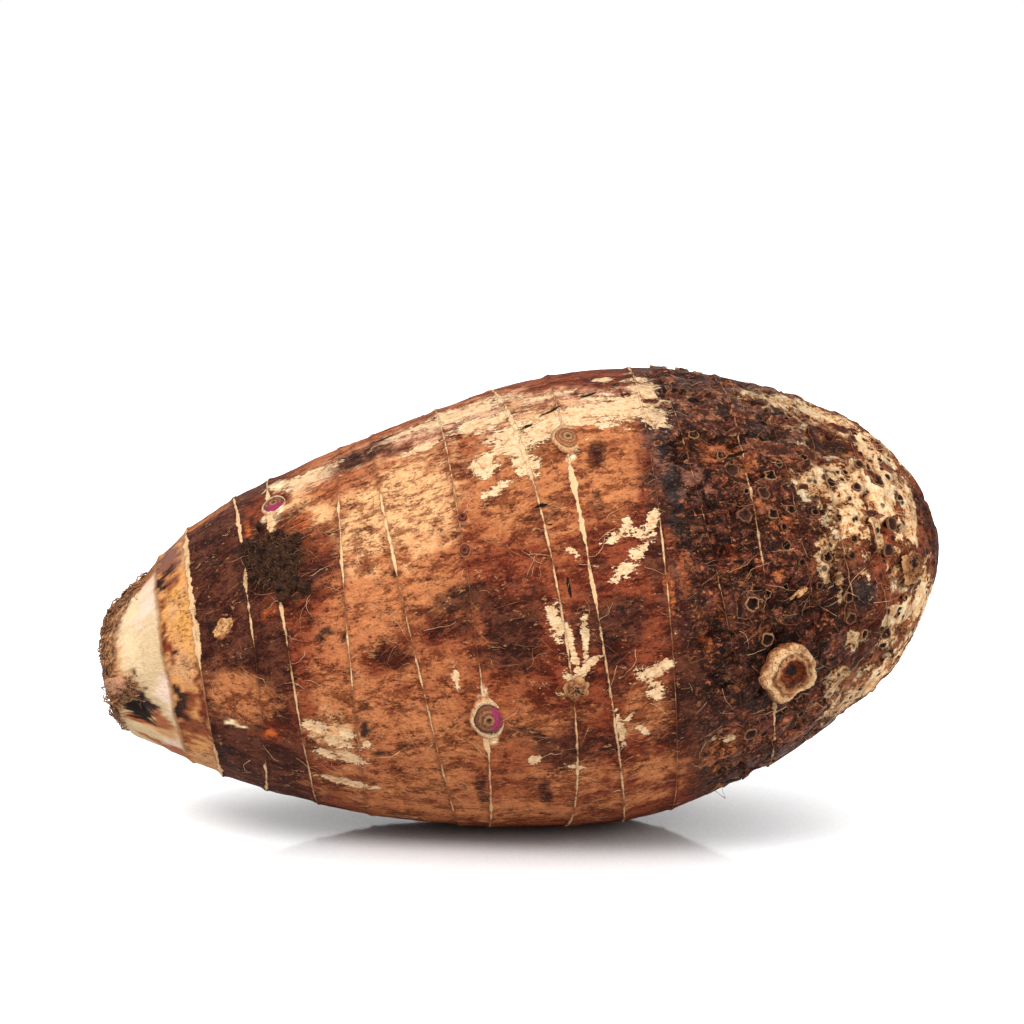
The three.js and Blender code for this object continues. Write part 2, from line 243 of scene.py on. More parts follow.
# Where the crust is missing over old scars and along the last leaf scars
BARE = [
    [187, 58, 8.6, 7], [202.5, -8, 5, 5.4], [209, 10, 3, 12], [208, 40, 3, 4], [190, -16, 5, 5],
    [197, -14, 4, 3], [192.8, 18, 0.6, 9], [196.8, 8, 0.9, 7], [201, 28, 0.7, 6], [194, 44, 1, 2],
    [199, 20, 1.4, 2], [200, 54, 2, 2], [193, -2, 2, 4], [206, 10, 1.4, 4],
]
# Pale crust at the root end
CRUST = [
    [196, 34, 15, 17], [184, 78, 16, 8], [204, 20, 8, 16], [180, 34, 5, 6], [181, 10, 3, 6],
    [192, 64, 14, 9], [194, 46, 14, 10], [179.5, -38, 4, 5], [198, -30, 6, 7], [183, -2, 2, 4],
    [185, -24, 3, 3], [206, -30, 8, 9], [187, 22, 5, 6], [196, 30, 12, 14], [190, -60, 14, 9],
    [200, 100, 12, 14],
]
PEELED = [
    [96, 76, 15, 4.5], [104, 66, 8, 3], [60, 72, 6, 4], [110, 57, 5, 4.5, 30], [103, 49, 3, 3],
    [113, 47, 3, 4.5], [105, 41, 3.5, 1.6, 20], [54.5, -19, 3, 1.5, -30], [58, -24, 4, 1.7, -20],
    [61.5, -21, 2.6, 1.2, -40], [56, -29, 3, 1.4, -20], [61.5, -31, 3.4, 1.7, -20], [66, -25, 1.5, 1.2],
    [58.5, -43, 8, 1.2, -14], [89.7, -5, 0.8, 2.8], [105.6, -31.6, 0.9, 2.4, -30], [122, 58, 12, 4.5, 8],
    [136, 61, 12, 6.5, 8], [144, 66, 3.6, 10, 10], [145, 55, 3, 3.5], [112, 52, 2.6, 7, 12],
    [131, 22.4, 3, 1.3, 20], [134.4, 24.8, 1, 2], [137, 22.2, 3, 1.3, -20], [140.2, 24.6, 1.3, 2.4, -30],
    [136.4, 18.4, 3, 1.5, 40], [132.4, 14.6, 2.4, 1.6, 20], [120.6, 21, 3.2, 0.8, -42], [115, 5, 2, 5.5, 4],
    [117.6, 0, 0.8, 7, 6], [121, 0.5, 0.8, 6, -6], [119, -8, 3, 0.9, 38], [116.6, -9, 2.6, 0.8, -40],
    [122, -5.6, 2.2, 0.7, 30], [135.5, -11.5, 3.2, 2.4], [139, -9.6, 2, 1.2, 10], [135.8, -15.6, 2, 2.6],
    [131.3, -26.4, 0.8, 2, 35], [126.4, -25, 0.8, 5, 4], [128.6, -22, 2.4, 0.6, 40],
    [114.5, -35.5, 3, 0.7, -22], [105, -31, 0.9, 1.6, -30], [111, 22.6, 0.6, 0.5], [129, 12.3, 1.3, 0.7],
    [148, -38, 1, 1.4], [113, -12.5, 1.4, 0.5], [152, -40, 1.6, 1], [120, 71, 6, 1.4, 6], [134, 77, 2, 2],
    [88, 64, 5, 1.5, 4],
]
# Cracks and dark slits in the skin
CRACKS = [
    [114, 59, 5, 1, 20], [121, 63.5, 6, 1, 24], [130, 68, 6, 1, 24], [138, 73, 4, 1, 24],
    [78, 78, 8, 1, 12], [148.5, 68, 0.9, 6, 14], [115, 33.5, 4, 0.9, -4], [116.5, 28.5, 2.4, 0.8, -4],
    [119, 12, 0.8, 5, 4], [155, 58, 6, 1, -24], [160, 52, 6, 1, -24], [163, 44, 5, 1, 14],
    [171, 46, 5, 1, -10], [157, 18, 5, 0.9, -14], [159, 12, 5, 0.9, -10], [156, 6, 4, 0.8, -18],
    [172, 60, 5, 1, 12], [156, 66, 7, 1, 8], [165, 36.5, 2.6, 1], [160, 37, 1.6, 0.9],
    [152, 50, 3, 0.5, 10], [43.4, 5, 0.4, 3], [108, -24, 3, 0.3, 8],
]

# Buds on the scars, [along, around, radius], and which side of a bud is magenta: {number: (along, around)}
BUDS = [[123.5, 51, 2.9], [96, -17.5, 3.4], [50.6, 62.5, 2.6], [96.5, 35.5, 1.1], [96, 26.5, 1.15],
        [67, 168, 3.2], [93, 138, 2.6], [139, -150, 3.4], [149, 120, 2.8]]
DRY_BUDS = (0, 7)
MAGENTA = {1: (0.95, 0.1), 2: (0.1, 0.95), 5: (0.8, 0.3), 6: (0.9, 0.1)}
SHOOT = (166.2, -20.8)
SHOOT_CLEARANCE = 8.5
# The holes that roots left: the plain ones on the front as (along, around), and how many there are in all
ROOT_SCARS = [
    (141.2, 35.5), (162.5, 24.5), (169, 24.5), (173.5, 25.5), (179.5, 24.5), (180.5, 9), (171.5, 15),
    (185, 22), (188, 14), (161.5, 39), (170, 37), (172.5, 41.5), (184.5, 35.5), (196.5, 41), (157, -40),
    (161, 0.5), (159.5, 43.5), (153.5, 49.5), (167.5, 31), (179, 45.5), (184.5, -14.5), (187.5, -23.5),
    (193.5, -31), (188.5, -43), (163.4, -10.6), (177, -50.5), (191, 35.5), (198.5, 19), (196.5, 7),
]
ROOT_SCAR_COUNT = 120
# Low swellings and hollows: [along, around, half length, half width, height]
SWELLINGS = [[50, 31, 8.5, 9, 1.9], [187, 58, 7, 9, -1.6], [203, -6, 5, 6, 1.3], [176, 150, 9, 8, -1.4],
             [8.5, -28, 5, 7, -3.2]]

# How far the brown rim of the trimmed end reaches along the corm: [height as an angle from the front, reach]
RIM_REACH = [[-90, 4], [-60, 4], [-30, 5], [-10, 8], [2, 7], [12, 5], [30, 6], [50, 8], [60, 11], [70, 14],
             [80, 20], [90, 30]]

# How far along and round the corm the back's patches lie from the front's
BACK_SHIFT, BACK_TURN = 4, 176

# The skin's grid
FRONT_COLUMNS = 210
BACK_COLUMNS = 112
ROW_STEP = 0.78

# ---------------------------------------------------------------------------------------------------------
# Noise


def gradient_table(seed):
    random = np.random.default_rng(seed)
    directions = random.normal(size=(256, 3))
    directions /= np.linalg.norm(directions, axis=1)[:, None]
    order = random.permutation(256)
    return np.concatenate([order, order]), directions


ORDER, DIRECTIONS = gradient_table(11)


def noise(points, size):
    """Smooth noise from about -1 to 1, with lumps of that size, at points in millimetres."""
    p = np.asarray(points, float) / size
    cell = np.floor(p).astype(int)
    f = p - cell
    cell &= 255
    ease = f * f * f * (f * (f * 6 - 15) + 10)
    total = 0.0
    for corner in np.ndindex(2, 2, 2):
        index = ORDER[(cell[..., 0] + corner[0]) & 255]
        index = ORDER[index + ((cell[..., 1] + corner[1]) & 255)]
        index = ORDER[index + ((cell[..., 2] + corner[2]) & 255)]
        weight = np.prod(np.where(np.array(corner) == 1, ease, 1 - ease), axis=-1)
        total = total + weight * ((f - corner) * DIRECTIONS[index]).sum(-1)
    return total * 1.6


def rough_noise(points, size):
    return sum(noise(points, size / 2**k) / 2**k for k in range(3))


def smooth(x, low, high):
    s = np.clip((x - low) / (high - low), 0, 1)
    return s * s * (3 - 2 * s)


# ---------------------------------------------------------------------------------------------------------
# The corm's surface


def outline_curve():
    """The smooth outline as (row number, [along, above, below]), with 50 samples to a row."""
    ends = OUTLINE[[1, -2]] * [1, -1, -1]
    rows = np.vstack([ends[:1, [0, 2, 1]], OUTLINE, ends[1:, [0, 2, 1]]])
    t = np.linspace(0, LAST_ROW, LAST_ROW * 50 + 1)
    i = np.minimum(t.astype(int), LAST_ROW - 1)
    f = (t - i)[:, None]
    a, b, c, d = rows[i], rows[i + 1], rows[i + 2], rows[i + 3]
    return t, b + 0.5 * f * (c - a + f * (2 * a - 5 * b + 4 * c - d + f * (3 * (b - c) + d - a)))


CURVE_T, CURVE = outline_curve()
BODY = CURVE_T >= FIRST_BODY_ROW


def outline_at(t):
    return [np.interp(t, CURVE_T, CURVE[:, k]) for k in range(3)]


def row_at(along):
    return np.interp(along, CURVE[BODY, 0], CURVE_T[BODY])


def scar_at(scar, angle):
    front, top, under = scar[:3]
    middle = (top + under) / 2
    return middle + (top - under) / 2 * np.sin(angle) + (front - middle) * np.cos(angle)


def turn_between(angle, other):
    return np.arctan2(np.sin(angle - other), np.cos(angle - other))


def direction(degrees):
    return math.cos(math.radians(degrees)), math.sin(math.radians(degrees))


def radius_at(along):
    _, above, below = outline_at(row_at(along))
    return (above + below) / 2


def gap_round(angle, place, around):
    """How far the angle lies round the corm from a patch's middle, in millimetres."""
    return turn_between(angle, math.radians(around)) * radius_at(place)


def nearest_scar(along, angle):
    """(signed distance to the nearest leaf scar, half width of its pale line, height of the scars' edges)"""
    distance = np.full(np.shape(along), FAR)
    width = np.zeros(np.shape(along))
    edges = np.zeros(np.shape(along))
    for scar, widths in zip(SCARS, LINE_WIDTHS):
        past = along - scar_at(scar, angle)
        layer = np.where(past > 0, np.exp(-np.abs(past) / 5), 0)
        ridge = 0.5 * np.exp(-((past / 0.7) ** 2)) + 0.45 * smooth(past, -0.5, 0.5) * layer
        edges = edges + scar[3] * ridge
        closer = np.abs(past) < np.abs(distance)
        distance = np.where(closer, past, distance)
        at, half = np.array(widths).T
        width = np.where(closer, np.interp(np.degrees(np.arcsin(np.sin(angle))), at, half), width)
    return distance, width, edges


def relief(along, angle):
    """The corm's large lumps, the edges of its leaf scars, and its swellings and hollows."""
    lumps = 0.7 * np.sin(2 * angle + 0.6 + along / 47) * np.sin(along / 31 + 0.5)
    lumps += 0.45 * np.sin(3 * angle - along / 23) * np.sin(along / 19 + 1.3)
    off_the_ends = smooth(along, 4, 24) - smooth(along, 190, 211)
    swellings = 0
    for place, around, length, width, height in SWELLINGS:
        across = gap_round(angle, place, around) / width
        swellings = swellings + height * np.exp(-(((along - place) / length) ** 2) - across**2)
    return lumps * off_the_ends + nearest_scar(along, angle)[2] + swellings


def smooth_skin(t, angle):
    """The skin without its fine relief, in the corm's own axes: along, across and up."""
    along, above, below = outline_at(t)
    radius = (above + below) / 2
    reach = np.maximum(radius + relief(along, angle) * smooth(radius, 0, 8), 0)
    across = -reach * np.cos(angle) * WIDTH_SHARE
    return np.stack([along, across, (above - below) / 2 + reach * np.sin(angle)], -1)


def field(patches, along, angle):
    """1 in the middle of a patch, 0 at its edge, and down to -1 away from all of them."""
    best = np.full(np.shape(along), -1.0)
    for place, around, length, width, *turned in patches:
        x = along - place
        y = gap_round(angle, place, around)
        c, s = direction(turned[0] if turned else 0)
        best = np.maximum(best, 1 - np.hypot((x * c + y * s) / length, (y * c - x * s) / width))
    return best


def on_both_sides(patches):
    """The patches, and as many like them on the back, half a turn round and a little along."""
    return patches + [[p[0] + BACK_SHIFT, p[1] + BACK_TURN, *p[2:]] for p in patches]


def bark_share(along):
    """1 on the rough dark zone towards the root end."""
    return smooth(along, 141, 150) * (1 - smooth(along, 178, 192))


def bark_layer(place):
    """Above 0 where the outer layer of the bark is still on."""
    return rough_noise(place * [0.6, 1, 1], 10)


def fine_relief(place, along, angle):
    """How far the fine relief stands off the smooth skin."""
    bark = bark_share(along)
    pitted = smooth(along, 172, 188)
    crown = 1 - smooth(along, 18, 26)
    edge = 1 - smooth(along, 3, 12)
    fibres = 0.13 * noise(place * [0.35, 1, 1], 1.6) + 0.1 * noise(place, 2.4)
    lumps = 0.3 * noise(place, 9)
    plates = (np.abs(rough_noise(place * [0.7, 1, 1], 7)) * 1.7 - 0.7 + 0.6 * rough_noise(place, 2.8)) * bark
    plates = plates + 0.8 * (smooth(bark_layer(place), -0.06, 0.1) - 0.5) * bark
    pits = 0.5 * rough_noise(place, 5) - 1.2 * smooth(noise(place, 3.4), 0.2, 0.55)
    pits = pits * np.maximum(pitted, 0.5 * bark)
    petioles = 0.3 * rough_noise(place * [0.3, 1, 1], 4) * crown + 0.7 * rough_noise(place, 3.5) * edge
    peeled = -0.22 * smooth(field(PEELED_ALL, along, angle), 0.0, 0.25)
    return np.minimum(fibres + lumps + plates + pits + petioles + peeled - RELIEF_DEPTH, -0.15)


PEELED_ALL = on_both_sides(PEELED)


def root_scars():
    """[along, around, radius] of the holes that roots left: the plain ones, then many like them."""
    random = np.random.default_rng(5)
    scars = [[*place, random.uniform(0.8, 1.6)] for place in ROOT_SCARS]
    kept_clear = [[*SHOOT, SHOOT_CLEARANCE]] + [[b[0], b[1], b[2] + 1.5] for b in BUDS]
    for _ in range(900):
        along = 212 - 55 * random.random() ** 1.2
        around = random.uniform(-180, 180)
        radius = random.uniform(0.5, 1.1)
        if along > 208 or len(scars) >= ROOT_SCAR_COUNT:
            continue
        for place, other_around, reach in scars + kept_clear:
            gap = gap_round(math.radians(around), place, other_around)
            if math.hypot(along - place, gap) < reach + radius + 1.6:
                break
        else:
            scars.append([along, around, radius])
    return scars


ALL_ROOT_SCARS = root_scars()


def root_scar_dents(along, angle):
    """How deep the holes that roots left are sunk in the skin."""
    depth = np.zeros(along.shape)
    for place, around, radius in ALL_ROOT_SCARS:
        near = np.abs(along - place) < 2 * radius
        across = gap_round(angle[near], place, around)
        off = np.hypot(along[near] - place, across) / radius
        depth[near] = np.maximum(depth[near], 1.5 * (1 - smooth(off, 0.65, 1.2)))
    return depth


def normals_of(points):
    """Outward normals of a closed ring grid of points."""
    lengthways = np.gradient(points, axis=0)
    sideways = np.roll(points, -1, axis=1) - np.roll(points, 1, axis=1)
    n = np.cross(lengthways, sideways)
    return n / np.maximum(np.linalg.norm(n, axis=-1, keepdims=True), 1e-9)


def skin_grid():
    """Row numbers t and angles of the skin's grid. The rows follow the leaf scars and crowd at them."""
    front = np.linspace(-math.pi / 2, math.pi / 2, FRONT_COLUMNS, endpoint=False)
    back = np.linspace(math.pi / 2, 1.5 * math.pi, BACK_COLUMNS, endpoint=False)
    angle = np.concatenate([front, back])
    rows = [np.full(angle.shape, t) for t in np.linspace(0.12, FIRST_BODY_ROW, 13, endpoint=False)]
    first = row_at(scar_at(SCARS[0], angle))
    rows += [FIRST_BODY_ROW + (first - FIRST_BODY_ROW) * s for s in np.linspace(0, 1, 30, endpoint=False)]
    for scar, following in zip(SCARS, SCARS[1:]):
        start, end = scar_at(scar, angle), scar_at(following, angle)
        count = max(6, round(float(np.mean(end - start)) / ROW_STEP))
        for s in np.linspace(0, 1, count, endpoint=False):
            share = s - 0.5 * math.sin(2 * math.pi * s) / (2 * math.pi)
            rows.append(row_at(start + (end - start) * share))
    last = row_at(scar_at(SCARS[-1], angle))
    rows += [last + (LAST_ROW - last) * s for s in np.linspace(0, 0.97, 26)]
    t = np.array(rows)
    return t, np.broadcast_to(angle, t.shape)


def to_shared_axes(points):
    """From the corm's own axes to the shared frame's, without the shift between them. Both in millimetres."""
    c, s = direction(AXIS_RISE)
    along, across, up = np.moveaxis(points, -1, 0)
    return np.stack([along * c - up * s, across, along * s + up * c], -1)


GRID_T, GRID_ANGLE = skin_grid()
SMOOTH = smooth_skin(GRID_T, GRID_ANGLE)
LOW_CORNER, HIGH_CORNER = (np.array(corner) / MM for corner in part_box(NODE))


def shift_into_place():
    points = to_shared_axes(SMOOTH).reshape(-1, 3)
    right, back, _ = HIGH_CORNER - points.max(0)
    return np.array([right, back, -REST_DEPTH - points[:, 2].min()])


SHIFT = shift_into_place()


def placed(points):
    """From the corm's own axes in millimetres to the shared frame in metres, kept in the solid's box, so that
    the corm is pressed flat where it rests."""
    return np.clip(to_shared_axes(points) + SHIFT, LOW_CORNER, HIGH_CORNER) * MM


def surface(along, around):
    """(points, outward normals) of the skin at places along and around it, in the corm's own axes."""
    along, around = np.broadcast_arrays(np.atleast_1d(along).astype(float), np.radians(around))
    t = row_at(along)
    points = smooth_skin(t, around)
    lengthways = smooth_skin(t + 0.03, around) - smooth_skin(t - 0.03, around)
    sideways = smooth_skin(t, around + 0.02) - smooth_skin(t, around - 0.02)
    normals = np.cross(lengthways, sideways)
    normals /= np.linalg.norm(normals, axis=-1, keepdims=True)
    return points + normals * fine_relief(points, along, around)[:, None], normals


def linear(colour):
    """A colour given as it looks on screen, 0 to 255, as the linear one that shaders take."""
    v = np.array(colour) / 255
    return np.where(v <= 0.04045, v / 12.92, ((v + 0.055) / 1.055) ** 2.4)


def painted(colours, layers, along, angle, share=1.0):
    """Colours with the layers' patches painted over them, their edges bent by noise."""
    place = np.stack([along, 55 * np.cos(angle), 55 * np.sin(angle)], -1)
    radius = np.maximum(radius_at(along), 8)
    bent = along + 1.6 * noise(place, 7) + 1.0 * noise(place, 2.6)
    turned = angle + (1.6 * noise(place + 40, 7) + 1.0 * noise(place + 40, 2.6)) / radius
    uneven = 0.55 * noise(place + 80, 2.2) + 0.45 * noise(place + 80, 5)
    for colour, softness, patches in layers:
        value = field(on_both_sides(patches), bent, turned) + uneven
        cover = smooth(value, 0.1 - 0.5 * softness, 0.1 + 0.5 * softness) * share
        colours = colours + (linear(colour) - colours) * cover[..., None]
    return colours


# ---------------------------------------------------------------------------------------------------------
# Meshes


def mesh_object(name, points, faces, attributes, material):
    """A piece from points in the corm's own axes, in millimetres."""
    mesh = bpy.data.meshes.new(name)
    mesh.from_pydata(placed(np.asarray(points, float)).tolist(), [], faces)
    for key, values in attributes.items():
        values = np.asarray(values, np.float32)
        kind = "FLOAT_VECTOR" if values.ndim == 2 else "FLOAT"
        layer = mesh.attributes.new(key, kind, "POINT")
        layer.data.foreach_set("vector" if values.ndim == 2 else "value", values.ravel())
    mesh.validate()
    mesh.shade_smooth()
    mesh.materials.append(material)
    piece = bpy.data.objects.new(name, mesh)
    bpy.context.scene.collection.objects.link(piece)
    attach(piece, "root")
    return piece


def ring_faces(rows, columns):
    """The faces between closed rings of points."""
    faces = []
    for a in range(0, (rows - 1) * columns, columns):
        faces += [(a + c, a + columns + c, a + columns + (c + 1) % columns, a + (c + 1) % columns)
                  for c in range(columns)]
    return faces


def fan_faces(middle, first, columns):
    """The faces between the ring that starts at the point numbered first and a point in its middle."""
    return [(middle, first + (c + 1) % columns, first + c) for c in range(columns)]


def flipped(faces):
    return [tuple(reversed(face)) for face in faces]


# ---------------------------------------------------------------------------------------------------------
# Materials


class Graph:
    """The nodes of a material or the world, built from the inside out. Colours can be given as on screen."""

    def __init__(self, owner):
        self.owner = owner
        owner.use_nodes = True
        self.tree = owner.node_tree
        self.tree.nodes.clear()

    def node(self, kind, inputs, output=0, **settings):
        node = self.tree.nodes.new("ShaderNode" + kind)
        for key, value in settings.items():
            setattr(node, key, value)
        for key, value in inputs.items():
            if isinstance(value, bpy.types.NodeSocket):
                self.tree.links.new(value, node.inputs[key])
            else:
                node.inputs[key].default_value = value
        return node.outputs[output] if len(node.outputs) else None

    def attribute(self, name, output="Fac"):
        return self.node("Attribute", {}, output, attribute_name=name)

    def math(self, operation, a, b=0.0):
        return self.node("Math", {0: a, 1: b}, operation=operation)

    def add(self, *terms):
        total = terms[0]
        for term in terms[1:]:
            total = self.math("ADD", total, term)
        return total

    def times(self, a, b):
        return self.math("MULTIPLY", a, b)

    def stretched(self, vector, factors):
        return self.node("VectorMath", {0: vector, 1: factors}, operation="MULTIPLY")

    def place(self):
        """The place on the object in millimetres."""
        return self.stretched(self.node("TexCoord", {}, 3), (1000, 1000, 1000))

    def noise(self, vector, size, detail=4.0, roughness=0.55, squeeze=None):
        """Noise with lumps of that size, drawn out along the corm where squeeze is under 1."""
        if squeeze:
            vector = self.stretched(vector, (squeeze, 1, 1))
        inputs = {"Vector": vector, "Scale": 1 / size, "Detail": detail, "Roughness": roughness}
        return self.node("TexNoise", inputs)

    def step(self, x, low, high):
        """0 at low and 1 at high, which may be the smaller."""
        inputs = {"Value": x, "From Min": low, "From Max": high}
        return self.node("MapRange", inputs, interpolation_type="SMOOTHSTEP")

    def centred(self, x, gain):
        """A noise value turned into one round 0, times gain."""
        return self.node("Math", {0: x, 1: gain, 2: -0.5 * gain}, operation="MULTIPLY_ADD")

    def rough(self, x, *noises):
        """x made uneven by noises, each given as (noise, gain)."""
        return self.add(x, *(self.centred(value, gain) for value, gain in noises))

    def mix(self, share, a, b, blend="MIX"):
        a, b = (rgb(*colour) if isinstance(colour, tuple) else colour for colour in (a, b))
        return self.node("Mix", {0: share, 6: a, 7: b}, 2, data_type="RGBA", blend_type=blend)

    def over(self, colour, target, *shares):
        """The colour with the target laid over it, by the product of the shares."""
        share = shares[0]
        for factor in shares[1:]:
            share = self.times(share, factor)
        return self.mix(share, colour, target)

    def darkened(self, colour, tint):
        return self.mix(1.0, colour, tint, "MULTIPLY")

    def ramp(self, x, stops):
        socket = self.node("ValToRGB", {0: x})
        elements = socket.node.color_ramp.elements
        while len(elements) < len(stops):
            elements.new(0.5)
        for element, (place, colour) in zip(elements, stops):
            element.position = place
            element.color = rgb(*colour)
        return socket

    def seen(self):
        """1 where the camera looks, straight or by way of a reflection, and 0 for light."""
        camera_ray, glossy_ray, transmission_ray = [
            self.node("LightPath", {}, f"Is {kind} Ray") for kind in ("Camera", "Glossy", "Transmission")]
        return self.math("MAXIMUM", self.math("MAXIMUM", camera_ray, glossy_ray), transmission_ray)

    def surface(self, colour, roughness, specular, height=None, reach=0.0003):
        inputs = {"Base Color": colour, "Roughness": roughness, "Specular IOR Level": specular}
        if height is not None:
            inputs["Normal"] = self.node("Bump", {"Height": height, "Distance": reach, "Strength": 1.0})
        self.node("OutputMaterial", {"Surface": self.node("BsdfPrincipled", inputs)})
        return self.owner


def rgb(*colour):
    return (*linear(colour), 1)


class SkinGraph(Graph):
    """A graph with what the layers of the skin share: noises, the painted colour as it is, in shade and in
    light, and the shares that raise the surface, each with its gain."""

    def __init__(self):
        super().__init__(bpy.data.materials.new("corm_skin_surface"))
        self.spot = self.attribute("place", "Vector")
        self.paint = self.attribute("paint", "Color")
        self.bark = self.attribute("bark")
        self.blotch = self.noise(self.spot, 12, 4, 0.6)
        self.smudge = self.noise(self.spot, 4.5, 5, 0.66, 0.8)
        self.mottle = self.noise(self.spot, 1.7, 4, 0.68)
        self.grain = self.noise(self.stretched(self.spot, (0.7, 1.2, 1.2)), 0.5, 2, 0.6)
        self.streak = self.noise(self.spot, 0.7, 3, 0.62, 0.13)
        self.ragged = self.noise(self.spot, 3.2, 5, 0.76, 0.6)
        self.level = self.rough(0.5, (self.mottle, 1.15), (self.grain, 1.1), (self.streak, 0.9),
                                (self.smudge, 1.15), (self.blotch, 0.4))
        self.shaded = self.stretched(self.paint, (0.3, 0.24, 0.22))
        self.lit = self.node("VectorMath", {0: self.paint, 1: (1.36, 1.4, 1.38), 2: (0.035, 0.018, 0.008)},
                             operation="MULTIPLY_ADD")
        self.raised = [(self.grain, 0.4), (self.streak, 0.4), (self.mottle, 0.7)]


def mottled_paint(g):
    """The painted colour, made lighter and darker by smudges, mottling, grain and fibre."""
    colour = g.mix(g.step(g.level, 0.12, 0.5), g.shaded, g.paint)
    colour = g.mix(g.step(g.level, 0.5, 0.88), colour, g.lit)
    dim = g.step(g.rough(g.attribute("dark"), (g.ragged, 2.6), (g.mottle, 0.9)), -0.2, 0.4)
    g.raised += [(g.times(dim, g.ragged), 1.2)]
    colour = g.over(colour, g.mix(g.step(g.level, 0.3, 0.75), SOOT, UMBER), 0.66, dim)
    rust = g.step(g.rough(g.attribute("rust"), (g.ragged, 2.4), (g.mottle, 1.2)), 0.0, 0.4)
    return g.over(colour, g.mix(g.step(g.level, 0.2, 0.75), RUSSET, (196, 108, 60)), 0.8, rust)


def worn_paint(g, colour):
    """Places worn off or rubbed pale, the rubbed ones partly painted glints, flecks and slanting scratches.
    """
    wear = g.noise(g.spot, 4.2, 5, 0.8, 0.5)
    worn_off = g.step(g.rough(wear, (g.streak, 0.12)), 0.5, 0.44)
    colour = g.over(colour, g.darkened(colour, (150, 112, 96)), 0.75, worn_off)
    # Rubbed pale places, in a lit copy of the paint, which also stand in for orange glints: partly wear,
    # partly painted highlight.
    rubbed_and_glint = g.step(g.rough(wear, (g.grain, 0.12)), 0.525, 0.575)
    colour = g.over(colour, g.lit, 0.5, rubbed_and_glint)
    fleck = g.noise(g.spot, 0.8, 3, 0.7, 0.45)
    colour = g.over(colour, DARK, 0.55, g.step(g.rough(fleck, (g.smudge, 0.6)), 0.6, 0.68))
    colour = g.over(colour, STRAW, 0.45, g.step(g.rough(fleck, (g.smudge, 0.5)), 0.37, 0.3))
    slanting = g.node("VectorRotate", {"Vector": g.spot, "Axis": (0, 1, 0), "Angle": 0.6})
    scratch = g.noise(slanting, 0.8, 2, 0.6, 0.1)
    return g.over(colour, g.lit, 0.4, g.step(g.rough(scratch, (g.smudge, 0.5)), 0.6, 0.68))


def trimmed_flesh(g, colour):
    """The fibrous flesh of the trimmed end and the pale band behind it."""
    fibrous = g.mix(g.step(g.rough(0.5, (g.streak, 1.6), (g.smudge, 0.8)), 0.1, 0.55), g.shaded, g.paint)
    colour = g.over(colour, g.mix(0.22, g.paint, fibrous), 0.95, g.attribute("flesh"))
    return g.over(colour, fibrous, 0.8, g.attribute("band"))


def crumpled_bark(g, colour):
    """Crests lightened as a painted highlight, an outer layer with a pale edge over a dark gap that is
    painted shade under that edge, painted glints, and creases darkened as painted shade.
    """
    crumple = g.math("ABSOLUTE", g.centred(g.noise(g.spot, 5, 5, 0.72, 0.8), 1.0))
    # Painted highlight: the crests of the crumpled bark are lightened.
    colour = g.over(colour, (160, 92, 66), g.times(g.bark, g.step(crumple, 0.12, 0.3)), 0.42)
    layer = g.rough(g.attribute("layer"), (g.ragged, 1.1), (g.mottle, 0.5))
    layered = g.times(g.bark, g.step(layer, 0.0, 0.05))
    colour = g.over(colour, g.mix(g.step(g.level, 0.3, 0.75), DARK, (120, 66, 50)), layered, 0.45)
    colour = g.over(colour, (156, 104, 74), layered, 0.7, g.step(layer, 0.12, 0.04))
    # Painted shade: a dark gap just under the edge of the outer layer.
    under = g.times(g.step(layer, -0.22, -0.03), g.step(layer, 0.03, 0.0))
    colour = g.over(colour, SOOT, g.times(g.bark, under), 0.8)
    # The bright specks of this noise are painted glints on the bark; its low ends give dark specks.
    glint = g.noise(g.spot, 1.5, 3, 0.72, 0.7)
    colour = g.over(colour, (196, 120, 76), g.bark, 0.75,
                    g.step(g.rough(glint, (g.smudge, 0.4)), 0.56, 0.66))
    colour = g.over(colour, SOOT, g.bark, 0.8, g.step(glint, 0.42, 0.34))
    # Painted shade: the creases between the crests are darkened, and they are also sunk in the relief.
    shaded_crease = g.times(g.bark, g.step(crumple, 0.05, 0.0))
    g.raised += [(shaded_crease, -1.0), (g.times(g.bark, g.ragged), 3.2), (layered, 1.3)]
    return g.over(colour, SOOT, shaded_crease, 0.85)


def pale_crust(g, colour):
    """The pale, pitted crust at the root end, and painted shade wherever the fine relief sinks low, anywhere
    on the skin.
    """
    crust = g.attribute("crust")
    share = g.step(g.rough(crust, (g.ragged, 3.4), (g.smudge, 2.6), (g.mottle, 0.8)), -0.02, 0.24)
    tone = g.add(g.rough(0.55, (g.mottle, 1.3), (g.grain, 0.7), (g.smudge, 1.7)), g.times(crust, 0.12))
    colour = g.mix(share, colour, g.ramp(tone, [
        (0.14, SOOT), (0.28, UMBER), (0.4, (158, 92, 50)), (0.5, (214, 156, 102)), (0.66, (240, 196, 146)),
        (0.9, (250, 222, 180))]))
    speck = g.node("TexVoronoi", {"Vector": g.spot, "Scale": 1 / 3.0})
    pit = g.step(g.rough(speck, (g.mottle, -0.6), (g.smudge, -0.9)), 0.26, 0.12)
    pit = g.times(g.attribute("pitted"), pit)
    g.raised += [(pit, -1.4), (g.times(share, g.ragged), 3.0)]
    colour = g.mix(pit, colour, (44, 22, 13))
    # Painted shade: darker where the fine relief sinks deep, by the low attribute.
    return g.over(colour, g.darkened(colour, (140, 96, 74)), g.attribute("low"), 0.75)


